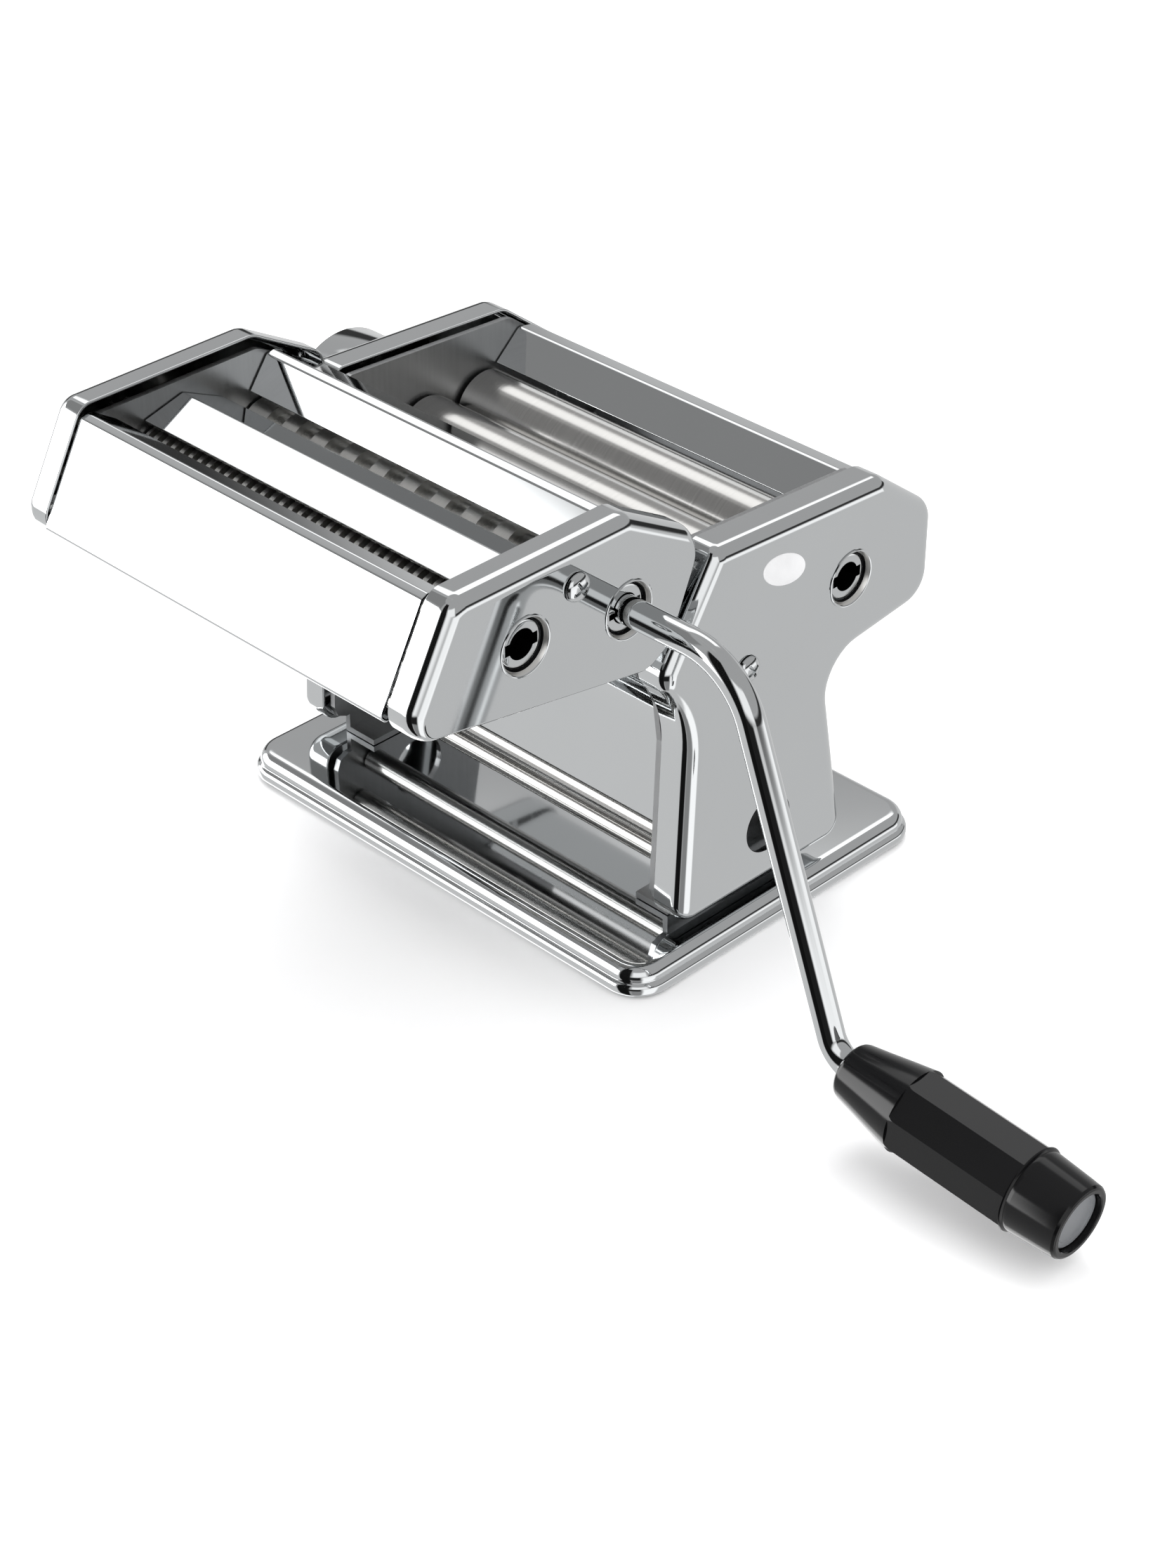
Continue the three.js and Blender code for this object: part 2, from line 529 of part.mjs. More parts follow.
add('comb_wide', comb(13, -88, -83.4, 124.8, COMB_TILT), steel());
add('cutter_tie_rod', rod(2.6, -70.7, 70.7, -93, 132.5, 12), steel());

const CUT_GEAR_X = [-81.5, -75.5];
for (const [kind, [driven, idle]] of [['fine', CUT.fine], ['wide', CUT.wide]]) {
  const angle = Math.atan2(idle[1] - driven[1], idle[0] - driven[0]);
  const module = Math.hypot(idle[1] - driven[1], idle[0] - driven[0]) / CUT.teeth;
  const bore = CUT.journal + GAP;
  add(`${kind}_cutter_driven`,
    roller(CUT.r, CUT.half, CUT.journal, -81.8, 74.6, ...driven, 16), steel());
  add(`${kind}_cutter_idle`, roller(CUT.r, CUT.half, CUT.journal, -81.8, 73.4, ...idle, 16), steel());
  add(`${kind}_gear_driven`, gear({ teeth: CUT.teeth, module, x0: CUT_GEAR_X[0], x1: CUT_GEAR_X[1],
    y: driven[0], z: driven[1], phase: angle, bore }), steel());
  add(`${kind}_gear_idle`, gear({ teeth: CUT.teeth, module, x0: CUT_GEAR_X[0], x1: CUT_GEAR_X[1],
    y: idle[0], z: idle[1], phase: angle + Math.PI + Math.PI / CUT.teeth, bore }), steel());
  add(`${kind}_socket`, pinSocket(74.9, 76.7, CUTTER.face, ...driven), steel());
  add(`${kind}_bezel`, bezel(8.2, CUTTER.face, ...driven), chrome());
}

// ---- crank --------------------------------------------------------------------------------
// The rod's centre line in the XZ plane: straight, a bend, the arm, a bend, the grip's axle.
function crankPath() {
  const [sx, sz] = CRANK.shoulder;
  const [ex, ez] = CRANK.elbow;
  const end = CRANK.gripStart + CRANK.gripLength - 6;
  const corners = [
    [CRANK.start, CRANK.z], [sx, sz], [ex, ez], [end, ez + (end - ex) * CRANK.gripTilt]]
    .map(([x, z]) => new THREE.Vector2(x, z));
  const points = [corners[0]];
  [CRANK.shoulderR, CRANK.elbowR].forEach((radius, k) => {
    const corner = corners[k + 1];
    const u = corner.clone().sub(corners[k]).normalize();
    const v = corners[k + 2].clone().sub(corner).normalize();
    const turn = Math.acos(u.dot(v));
    const reach = radius * Math.tan(turn / 2);
    const steps = 5;
    for (let s = 0; s <= steps; s++) {
      const a = (turn * s) / steps;
      const along = u.clone().multiplyScalar(-reach + radius * Math.sin(a));
      const across = v.clone().sub(u.clone().multiplyScalar(u.dot(v))).normalize();
      points.push(corner.clone().add(along).add(across.multiplyScalar(radius * (1 - Math.cos(a)))));
    }
  });
  points.push(corners[3]);
  return points.map((p) => new THREE.Vector3(p.x, CRANK.y, p.y));
}
function polyTube(points, r, sides) {
  const rings = points.map((p, i) => {
    const a = points[Math.max(i - 1, 0)];
    const b = points[Math.min(i + 1, points.length - 1)];
    const t = b.clone().sub(a).normalize();
    const n = new THREE.Vector3(-t.z, 0, t.x);
    const across = new THREE.Vector3(0, 1, 0);
    return Array.from({ length: sides }, (_, k) => {
      const angle = (k * 2 * Math.PI) / sides;
      return p.clone().addScaledVector(n, r * Math.cos(angle)).addScaledVector(across, r * Math.sin(angle))
        .toArray();
    });
  });
  return skin(rings);
}
const CRANK_PIN = { r: 1.4, reach: 5.8, x: CRANK.start + 2.2 };
const crankPin = new THREE.CylinderGeometry(CRANK_PIN.r, CRANK_PIN.r, 2 * CRANK_PIN.reach, 10);
crankPin.translate(CRANK_PIN.x, CRANK.y, CRANK.z);
add('crank_rod', join(polyTube(crankPath(), ROD_R, 10), crankPin), chrome());
// The grip is turned about its own axle: profile is (radius, distance along the grip).
function onGrip(profile, sides = 16) {
  const g = new THREE.LatheGeometry([...profile, profile[0]].map(([r, s]) => new THREE.Vector2(r, s)), sides);
  const tilt = Math.atan(CRANK.gripTilt);
  g.rotateZ(-Math.PI / 2).rotateY(-tilt);
  const z = CRANK.elbow[1] + (CRANK.gripStart - CRANK.elbow[0]) * CRANK.gripTilt;
  return g.translate(CRANK.gripStart, CRANK.y, z);
}
const L = CRANK.gripLength;
const bore = ROD_R + 0.35;
add('crank_grip', onGrip([
  [bore, 0], [7.4, 0], [8.6, 1.2], [11.2, 0.18 * L], [13.1, 0.3 * L], [CRANK.gripR, 0.42 * L],
  [CRANK.gripR, 0.66 * L], [12.4, 0.8 * L], [12.2, 0.94 * L], [11, L - 1], [9.2, L - 1], [9.2, L - 4],
  [bore, L - 4]]), blackPlastic());
add('grip_end_cap', (() => {
  const g = new THREE.CylinderGeometry(8.8, 8.8, 1.6, 20);
  const tilt = Math.atan(CRANK.gripTilt);
  const s = L - 2.6;
  const z = CRANK.elbow[1] + (CRANK.gripStart - CRANK.elbow[0]) * CRANK.gripTilt;
  g.rotateZ(-Math.PI / 2).rotateY(-tilt);
  return g.translate(CRANK.gripStart + s * Math.cos(tilt), CRANK.y, z + s * Math.sin(tilt));
})(), greyPlastic());

// The row's origin is the middle of the whole machine's box, on the table.
const bounds = new THREE.Box3().setFromObject(machine);
const middle = bounds.getCenter(new THREE.Vector3());
machine.position.set(-middle.x, -middle.y, -bounds.min.z);

export default machine;
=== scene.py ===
import math

import bmesh
import bpy
from mathutils import Matrix, Vector


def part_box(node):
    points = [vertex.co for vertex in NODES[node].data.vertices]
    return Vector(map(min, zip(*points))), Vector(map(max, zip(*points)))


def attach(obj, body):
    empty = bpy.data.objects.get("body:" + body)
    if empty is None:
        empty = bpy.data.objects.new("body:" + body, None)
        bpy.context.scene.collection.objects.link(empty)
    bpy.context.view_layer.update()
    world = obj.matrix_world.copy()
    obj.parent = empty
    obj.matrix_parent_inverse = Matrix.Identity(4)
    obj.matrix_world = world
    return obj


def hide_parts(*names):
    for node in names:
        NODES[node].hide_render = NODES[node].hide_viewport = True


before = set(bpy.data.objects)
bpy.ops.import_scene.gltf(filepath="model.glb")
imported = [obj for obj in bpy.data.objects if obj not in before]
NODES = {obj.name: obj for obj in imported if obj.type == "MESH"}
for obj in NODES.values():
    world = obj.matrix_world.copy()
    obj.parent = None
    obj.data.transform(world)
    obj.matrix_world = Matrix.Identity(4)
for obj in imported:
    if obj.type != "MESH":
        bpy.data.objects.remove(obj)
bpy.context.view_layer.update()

bl_info = {
    "name": "Pasta Roller Machine",
    "version": (1, 0, 0),
    "blender": (4, 5, 0),
    "location": "View3D > Sidebar > Pasta Machine",
    "description": "Models the finished pieces of a hand-cranked pasta roller machine",
    "category": "Add Mesh",
}

MM = 0.001

# The layout's own origin is the middle of the base tray; the frame's is the middle of the whole
# machine.
TRAY_LOW, TRAY_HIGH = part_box("base_tray")
TRAY_MIDDLE_Y = 0.5 * MM  # the tray reaches 1 mm further back than forward
ORIGIN = Vector((
    (TRAY_LOW[0] + TRAY_HIGH[0]) / 2,
    (TRAY_LOW[1] + TRAY_HIGH[1]) / 2 - TRAY_MIDDLE_Y,
    0,
))


def at(x, y, z):
    """A place given in millimetres of the machine's layout, in metres of the frame."""
    return ORIGIN + Vector((x, y, z)) * MM


# ---- layout, in millimetres ------------------------------------------------------------------
# Cheek outlines: (y, z, corner radius, share of the pressed bend on the edge that starts there).
CHEEK_OUTLINE = [
    (-29.4, 141.1, 5, 1), (42.6, 137, 8, 1), (67, 118.6, 9, 1), (67, 87.1, 11, 1),
    (20.3, 81.6, 13, 1), (32.3, 15, 7, 1), (-42.6, 15, 7, 1), (-39.4, 89.3, 38, 1),
    (-51.8, 105.1, 7, 1),
]
CUTTER_OUTLINE = [
    (-128.5, 165, 7, 1), (-63, 165, 9, 1), (-33.5, 148.5, 8, 0.12), (-37.8, 137, 8, 0.12),
    (-46.8, 116, 4, 0.3), (-55, 111.2, 9, 0.3), (-148.5, 127.4, 8, 1),
]
CHEEK_RIM, CHEEK_FACE = 75, 87.1  # half distances over the flanges' rims and over the faces
CUTTER_RIM, CUTTER_FACE = 73.5, 84.2
ROLLER_Z = 108.6
DRIVE_Y, IDLE_Y, KNOB_Y = 28.5, 2.5, 1.3
ROLLER_HALF = 70.5
SHEET_HALF = 71.2  # the aprons and the hopper tray end inside the side plates
CUTTER_SHEET_HALF = 70.6
FINE = ((-103.4, 141.1), (-121.6, 143.2))  # driven and idle roller: (y, z)
WIDE = ((-63.5, 135.5), (-81.6, 138.0))
CLAMP_HOLE = (-4.6, 36.3)
CHEEK_SCREW = (-16.4, 96.7)
CUTTER_SCREW = (-84.0, 151.5)
SCREW_HOLE_R, CLAMP_HOLE_R, BEZEL_HOLE_R, SHAFT_HOLE_R = 2.3, 9.7, 8.9, 6.6
SETTINGS, SETTINGS_R, SETTING_HOLE_R = 10, 17, 1.9  # the ring of holes that the knob's pin enters
SOCKET_R, SOCKET_HOLE_R, SLOT_REACH, SLOT_HALF = 7.2, 4.7, 6.1, 1.8
RECESS = 1.6  # how far a socket lies behind its cheek's face
SHOULDER, ELBOW = (124.7, 135.5), (166.8, 23.6)
SHOULDER_R, ELBOW_R = 25.0, 12.0
CRANK_START, CROSS_PIN_X = 78.9, 80.7
GRIP_START, GRIP_LENGTH, GRIP_SLOPE = 172.3, 82.5, -0.0814


def linear(hex_colour):
    """An sRGB hex colour as linear values with full alpha."""
    channels = [int(hex_colour[i:i + 2], 16) / 255 for i in (1, 3, 5)]
    linear_channels = [c / 12.92 if c <= 0.04045 else ((c + 0.055) / 1.055) ** 2.4
                       for c in channels]
    return (*linear_channels, 1.0)


class MachineSizes(bpy.types.PropertyGroup):
    """Sizes of the machine's own details"""
    sheet: bpy.props.FloatProperty(
        name="Sheet", description="Thickness of the pressed cheeks and the tray",
        default=1.2 * MM, unit="LENGTH")
    cover: bpy.props.FloatProperty(
        name="Cover sheet", description="Thickness of the covers, aprons and guides",
        default=1.0 * MM, unit="LENGTH")
    bend: bpy.props.FloatProperty(
        name="Bend radius", description="Outside radius of the cheeks' pressed edge",
        default=5.0 * MM, unit="LENGTH")
    roller: bpy.props.FloatProperty(
        name="Roller radius", description="Radius of the two smooth rollers",
        default=12.6 * MM, unit="LENGTH")
    fine_pitch: bpy.props.FloatProperty(
        name="Fine pitch", description="Distance between the fine cutter's ridges",
        default=4.0 * MM, unit="LENGTH")
    wide_pitch: bpy.props.FloatProperty(
        name="Wide pitch", description="Distance between the wide cutter's ridges",
        default=13.0 * MM, unit="LENGTH")
    rod: bpy.props.FloatProperty(
        name="Crank rod radius", description="Radius of the bent rod",
        default=4.35 * MM, unit="LENGTH")
    grip: bpy.props.FloatProperty(
        name="Grip radius", description="Largest radius of the black grip",
        default=13.5 * MM, unit="LENGTH")


class MachineColours(bpy.types.PropertyGroup):
    """Colours of the machine's finishes"""
    chrome: bpy.props.FloatVectorProperty(
        name="Chrome", description="Polished chrome plate", subtype="COLOR", size=4,
        default=linear("#C9CBCC"))
    steel: bpy.props.FloatVectorProperty(
        name="Roller steel", description="Ground and polished roller steel", subtype="COLOR",
        size=4, default=linear("#BDBCBA"))
    grip: bpy.props.FloatVectorProperty(
        name="Grip", description="Black moulded grip", subtype="COLOR", size=4,
        default=linear("#0B0B0C"))
    disc: bpy.props.FloatVectorProperty(
        name="End disc", description="Grey disc in the grip's end", subtype="COLOR", size=4,
        default=linear("#6B6D70"))


# ---- working in edit mode --------------------------------------------------------------------
def start(name):
    """Names the primitive that was just added and leaves it alone selected."""
    piece = bpy.context.object
    piece.name = name
    piece.data.name = name
    return piece


def clear_selection():
    if bpy.context.object and bpy.context.object.mode != "OBJECT":
        bpy.ops.object.mode_set(mode="OBJECT")
    bpy.ops.object.select_all(action="DESELECT")


def activate(piece):
    clear_selection()
    piece.select_set(True)
    bpy.context.view_layer.objects.active = piece


def edit(piece):
    activate(piece)
    bpy.ops.object.mode_set(mode="EDIT")
    bpy.ops.mesh.select_all(action="DESELECT")


def leave_edit():
    bpy.ops.object.mode_set(mode="OBJECT")


def pick(piece, kind, test):
    """In edit mode, selects only the vertices, edges or faces whose middle passes the test."""
    bpy.ops.mesh.select_mode(type={"verts": "VERT", "edges": "EDGE", "faces": "FACE"}[kind])
    bpy.ops.mesh.select_all(action="DESELECT")
    mesh = bmesh.from_edit_mesh(piece.data)
    for element in getattr(mesh, kind):
        if kind == "verts":
            middle = element.co
        elif kind == "edges":
            middle = (element.verts[0].co + element.verts[1].co) / 2
        else:
            middle = element.calc_center_median()
        if test(middle, element):
            element.select_set(True)
    mesh.select_flush_mode()
    bmesh.update_edit_mesh(piece.data)


def push(vector):
    bpy.ops.mesh.extrude_region_move(TRANSFORM_OT_translate={"value": tuple(vector)})


def settle(piece):
    """Puts a primitive's place into its mesh, so that its object sits at the origin."""
    activate(piece)
    bpy.ops.object.transform_apply(location=True, rotation=True, scale=True)


def modify(piece, kind, **settings):
    activate(piece)
    modifier = piece.modifiers.new(kind.title(), kind)
    for key, value in settings.items():
        setattr(modifier, key, value)
    bpy.ops.object.modifier_apply(modifier=modifier.name)


def soften(piece, width, angle=40):
    """Rounds the edges that are sharper than angle, then shades smooth up to 35 degrees, while the
    large faces keep their own direction.
    """
    modify(piece, "BEVEL", width=width, segments=2, limit_method="ANGLE",
           angle_limit=math.radians(angle), use_clamp_overlap=True, harden_normals=False)
    smooth_flats(piece)


def smooth(piece, angle=35):
    activate(piece)
    bpy.ops.object.shade_smooth_by_angle(angle=math.radians(angle))


def smooth_flats(piece):
    """Shades smooth, while the large faces keep their own direction."""
    smooth(piece)
    modify(piece, "WEIGHTED_NORMAL", mode="FACE_AREA", weight=50, keep_sharp=True)


def close_seams(piece):
    """Merges doubles, drops empty faces and points the faces outwards."""
    edit(piece)
    bpy.ops.mesh.select_all(action="SELECT")
    bpy.ops.mesh.remove_doubles(threshold=1e-6)
    bpy.ops.mesh.dissolve_degenerate(threshold=1e-7)
    bpy.ops.mesh.select_all(action="SELECT")
    bpy.ops.mesh.normals_make_consistent(inside=False)
    leave_edit()


def turned(name, profile, y, z, steps=64, angle=30):
    """A piece turned about an axis along X. The profile is (x, radius) in millimetres, and it
    either starts and ends on the axis or closes on itself."""
    clear_selection()
    bpy.ops.mesh.primitive_circle_add(vertices=len(profile), fill_type="NOTHING", radius=MM)
    piece = start(name)
    settle(piece)
    for vertex, (x, radius) in zip(piece.data.vertices, profile):
        vertex.co = at(x, y, z + radius)
    edit(piece)
    bpy.ops.mesh.select_all(action="SELECT")
    bpy.ops.mesh.spin(steps=steps, angle=2 * math.pi, center=at(0, y, z), axis=(1, 0, 0))
    leave_edit()
    close_seams(piece)
    smooth(piece, angle)
    return piece


def round_bar(name, x0, x1, radius, y, z, steps=48, chamfer=0.4):
    ends = [(x0, 0), (x0, radius - chamfer), (x0 + chamfer, radius),
            (x1 - chamfer, radius), (x1, radius - chamfer), (x1, 0)]
    return turned(name, ends, y, z, steps)


def cylinder(radius, x0, x1, y, z, vertices=64):
    """A plain cylinder along X that is only used to cut with."""
    clear_selection()
    bpy.ops.mesh.primitive_cylinder_add(
        vertices=vertices, radius=radius * MM, depth=abs(x1 - x0) * MM,
        location=at((x0 + x1) / 2, y, z), rotation=(0, math.pi / 2, 0))
    tool = start("cutting_tool")
    settle(tool)
    return tool


def block(x0, x1, y0, y1, z0, z1, turn=0.0):
    """A plain block that is only used to cut with; turn is about X, in degrees."""
    clear_selection()
    bpy.ops.mesh.primitive_cube_add(
        size=1, location=at((x0 + x1) / 2, (y0 + y1) / 2, (z0 + z1) / 2),
        rotation=(math.radians(turn), 0, 0))
    tool = start("cutting_tool")
    tool.scale = (abs(x1 - x0) * MM, abs(y1 - y0) * MM, abs(z1 - z0) * MM)
    settle(tool)
    return tool


def turn_about(piece, pivot, degrees, axis, target=None):
    """Turns a mesh about a point of the layout, and then moves that point to target."""
    pivot = at(*pivot)
    target = at(*target) if target else pivot
    piece.data.transform(Matrix.Translation(target)
                         @ Matrix.Rotation(math.radians(degrees), 4, axis)
                         @ Matrix.Translation(-pivot))
    piece.data.update()


def cut(piece, tools):
    for tool in tools:
        modify(piece, "BOOLEAN", operation="DIFFERENCE", object=tool, solver="EXACT")
        bpy.data.objects.remove(tool)


def refinish_or_paint_shade(piece, finish, y, z, test):
    """Gives a further finish, or painted shade, to the faces whose (x, distance from the axis) in
    mm pass the test.
    """
    piece.data.materials.append(MATERIALS[finish])
    for polygon in piece.data.polygons:
        place = (polygon.center - at(0, y, z)) / MM
        if test(place.x, math.hypot(place.y, place.z)):
            polygon.material_index = len(piece.data.materials) - 1


def finish_piece(piece, body, material, slot, *replaced):
    """Rides on its body, takes its finish and stands for the CAD nodes that it replaces."""
    settle(piece)
    piece.data.materials.clear()
    piece.data.materials.append(material)
    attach(piece, body)
    if replaced:
        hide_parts(*replaced)


# ---- sheet metal -----------------------------------------------------------------------------
def inset_outline(corners, inset, steps):
    """The clockwise outline (a, b, corner radius, share), moved inwards and rounded. Each edge
    moves by inset(share), and every inset gives as many points."""
    lines = []
    for i, (a, b, _, share) in enumerate(corners):
        start = Vector((a, b))
        run = (Vector(corners[(i + 1) % len(corners)][:2]) - start).normalized()
        moved = inset(share)
        lines.append((start + Vector((run.y, -run.x)) * moved, run, moved))
    points = []
    for i, (start, run, moved) in enumerate(lines):
        start_before, run_before, moved_before = lines[i - 1]
        cross = run_before.x * run.y - run_before.y * run.x
        gap = start - start_before
        corner = start_before + run_before * (gap.x * run.y - gap.y * run.x) / cross
        turn = run_before.angle(run)
        shift = (moved + moved_before) / 2
        side = 1 if cross < 0 else -1
        radius = max(0.4, corners[i][2] - side * shift)
        first = corner - run_before * radius * math.tan(turn / 2)
        centre = first + Vector((run_before.y, -run_before.x)) * radius * side
        for step in range(steps + 1):
            swing = Matrix.Rotation(-side * turn * step / steps, 2)
            points.append(centre + swing @ (first - centre))
    return points


def ring_stack(name, rings):
    """Extrudes a ring of points through a stack of rings with as many points; closes the ends."""
    clear_selection()
    bpy.ops.mesh.primitive_circle_add(vertices=len(rings[0]), fill_type="NOTHING", radius=MM)
    piece = start(name)
    settle(piece)
    for vertex, place in zip(piece.data.vertices, rings[0]):
        vertex.co = place
    edit(piece)
    bpy.ops.mesh.select_all(action="SELECT")
    bpy.ops.mesh.edge_face_add()
    bpy.ops.mesh.select_mode(type="EDGE")
    for before, ring in zip(rings, rings[1:]):
        order = {key: index for index, key in enumerate(tuple(Vector(place)) for place in before)}
        bpy.ops.mesh.extrude_edges_move()
        mesh = bmesh.from_edit_mesh(piece.data)
        for vertex in mesh.verts:
            if vertex.select:
                vertex.co = ring[order[tuple(vertex.co)]]
        bmesh.update_edit_mesh(piece.data)
    bpy.ops.mesh.edge_face_add()
    bpy.ops.mesh.select_all(action="SELECT")
    bpy.ops.mesh.normals_make_consistent(inside=False)
    leave_edit()
    return piece


def pressed_cheek(name, outline, rim, face, side, sizes):
    """A cheek pressed from sheet: a flat face whose edge is rolled inwards with a round bend."""
    bend, sheet = sizes.bend / MM, sizes.sheet / MM
    lip = sheet / 2
    quarter = [math.radians(90 * i / 8) for i in range(9)]
    # (height along X, inset of a full bend, further inset), from the face outwards and back in
    outer = [(face, bend + 0.6, 0)]
    outer += [(face - bend + bend * math.cos(a), bend * (1 - math.sin(a)), 0) for a in quarter]
    edge = [(rim + lip * (1 - math.sin(a)), 0, lip * (1 - math.cos(a))) for a in quarter[2::2]]
    edge += [(rim + lip * (1 - math.cos(a)), 0, lip * (1 + math.sin(a))) for a in quarter[:7:2]]
    inner_bend = bend - sheet
    inner = [(face - bend + inner_bend * math.cos(a), inner_bend * (1 - math.sin(a)), sheet)
             for a in reversed(quarter[::2])]
    rings = [[at(side * x, *point)
              for point in inset_outline(outline, lambda share: inset * share + extra, 10)]
             for x, inset, extra in outer + edge + inner]
    return ring_stack(name, rings)


def folded_sheet(name, path, radii, thickness, ends):
    """A sheet that runs along X between its ends, folded along path with the given radii."""
    clear_selection()
    bpy.ops.mesh.primitive_plane_add(size=MM)
    piece = start(name)
    settle(piece)
    first, second = path[0], path[1]
    middle_x = sum(ends) / 2
    corners = [at(x, *point) for point in (first, second) for x in ends]
    for vertex, place in zip(piece.data.vertices, corners):
        vertex.co = place
    edit(piece)
    for here, there in zip(path[1:], path[2:]):
        spot = at(middle_x, *here)
        pick(piece, "edges", lambda middle, _: (middle - spot).length < 1e-6)
        push(at(middle_x, *there) - spot)
    for i, radius in enumerate(radii):
        before, here, after = (Vector(p) for p in path[i:i + 3])
        turn = (here - before).angle(after - here)
        spot = at(middle_x, *path[i + 1])
        pick(piece, "edges", lambda middle, _: (middle - spot).length < 1e-6)
        bpy.ops.mesh.bevel(offset_type="OFFSET", offset=radius * MM * math.tan(turn / 2),
                           segments=6, profile=0.5, affect="EDGES")
    leave_edit()
    modify(piece, "SOLIDIFY", thickness=thickness, offset=0, use_even_offset=True)
    close_seams(piece)
    soften(piece, 0.25 * MM, angle=60)
    return piece


# ---- materials -------------------------------------------------------------------------------
def node(tree, kind, links=None, **settings):
    """Adds a node with its settings; links are {input: (node, output) or a value}."""
    made = tree.nodes.new(kind)
    for key, value in settings.items():
        setattr(made, key, value)
    for socket, source in (links or {}).items():
        if isinstance(source, tuple) and isinstance(source[0], bpy.types.Node):
            tree.links.new(source[0].outputs[source[1]], made.inputs[socket])
        else:
            made.inputs[socket].default_value = source
    return made


def material(name, base):
    """A new material with its Principled shader; base holds the shader's plain settings."""
    made = bpy.data.materials.new(name)
    made.use_nodes = True
    tree = made.node_tree
    shader = tree.nodes["Principled BSDF"]
    for socket, value in base.items():
        shader.inputs[socket].default_value = value
    return made, tree, shader


def object_coordinates(tree, scale):
    """Object coordinates stretched by scale, in repeats per metre."""
    place = node(tree, "ShaderNodeTexCoord")
    return node(tree, "ShaderNodeMapping", {"Vector": (place, "Object"), "Scale": scale})


def spread(tree, source, low, high):
    """Maps a 0 to 1 value to the range from low to high."""
    return node(tree, "ShaderNodeMapRange", {"Value": source, "To Min": low, "To Max": high})


def polished_chrome(colour):
    """Nickel-chrome plate on pressed steel, buffed: a mirror with a faint haze of fingerprints
    and cleaning marks, and the slow waviness that a press leaves in thin sheet."""
    made, tree, shader = material("polished_chrome_plate", {"Metallic": 1.0})
    haze = node(tree, "ShaderNodeTexNoise", {
        "Vector": (object_coordinates(tree, (30, 30, 30)), 0), "Scale": 1.0, "Detail": 4.0})
    rough = spread(tree, (haze, 0), 0.025, 0.075)
    tone = node(tree, "ShaderNodeMix", {
        "Factor": (haze, 0), 6: tuple(c * 0.96 for c in colour[:3]) + (1,), 7: colour},
        data_type="RGBA")
    wave = node(tree, "ShaderNodeTexNoise", {
        "Vector": (object_coordinates(tree, (18, 18, 18)), 0), "Scale": 1.0, "Detail": 1.0})
    bump = node(tree, "ShaderNodeBump", {
        "Height": (wave, 0), "Strength": 0.05, "Distance": 0.4 * MM})
    tree.links.new(rough.outputs[0], shader.inputs["Roughness"])
    tree.links.new(tone.outputs[2], shader.inputs["Base Color"])
    tree.links.new(bump.outputs[0], shader.inputs["Normal"])
    return made


def ground_steel(name, colour, low, high, along):
    """Ground steel: satin, with fine marks that run round the piece, 0.4 mm apart so that they
    show; along holds the marks' repeats per metre on each axis."""
    made, tree, shader = material(name, {"Metallic": 1.0})
    marks = node(tree, "ShaderNodeTexNoise", {
        "Vector": (object_coordinates(tree, along), 0), "Scale": 1.0, "Detail": 3.0})
    cloud = node(tree, "ShaderNodeTexNoise", {
        "Vector": (object_coordinates(tree, (45, 45, 45)), 0), "Scale": 1.0, "Detail": 3.0})
    both = node(tree, "ShaderNodeMath", {0: (marks, 0), 1: (cloud, 0)}, operation="MULTIPLY")
    rough = spread(tree, (both, 0), low, high)
    tone = node(tree, "ShaderNodeMix", {
        "Factor": (marks, 0), 6: tuple(c * 0.82 for c in colour[:3]) + (1,), 7: colour},
        data_type="RGBA")
    bump = node(tree, "ShaderNodeBump", {
        "Height": (marks, 0), "Strength": 0.12, "Distance": 0.05 * MM})
    tree.links.new(rough.outputs[0], shader.inputs["Roughness"])
    tree.links.new(tone.outputs[2], shader.inputs["Base Color"])
    tree.links.new(bump.outputs[0], shader.inputs["Normal"])
    return made


def moulded_plastic(name, colour, roughness, grain, depth, level=0.5):
    """Moulded plastic: an even colour with the mould's fine spark grain, grain per metre."""
    made, tree, shader = material(name, {"IOR": 1.49, "Specular IOR Level": level})
    fine = object_coordinates(tree, (grain, grain, grain))
    speckle = node(tree, "ShaderNodeTexNoise", {"Vector": (fine, 0), "Scale": 1.0, "Detail": 2.0})
    cloud = node(tree, "ShaderNodeTexNoise", {
        "Vector": (object_coordinates(tree, (60, 60, 60)), 0), "Scale": 1.0, "Detail": 3.0})
    rough = spread(tree, (cloud, 0), roughness * 0.75, roughness * 1.3)
    tone = node(tree, "ShaderNodeMix", {
        "Factor": (cloud, 0), 6: tuple(c * 0.75 for c in colour[:3]) + (1,),
        7: tuple(min(1, c * 1.25) for c in colour[:3]) + (1,)}, data_type="RGBA")
    bump = node(tree, "ShaderNodeBump", {
        "Height": (speckle, 0), "Strength": 0.15, "Distance": depth * MM})
    tree.links.new(rough.outputs[0], shader.inputs["Roughness"])
    tree.links.new(tone.outputs[2], shader.inputs["Base Color"])
    tree.links.new(bump.outputs[0], shader.inputs["Normal"])
    return made


MATERIALS = {}


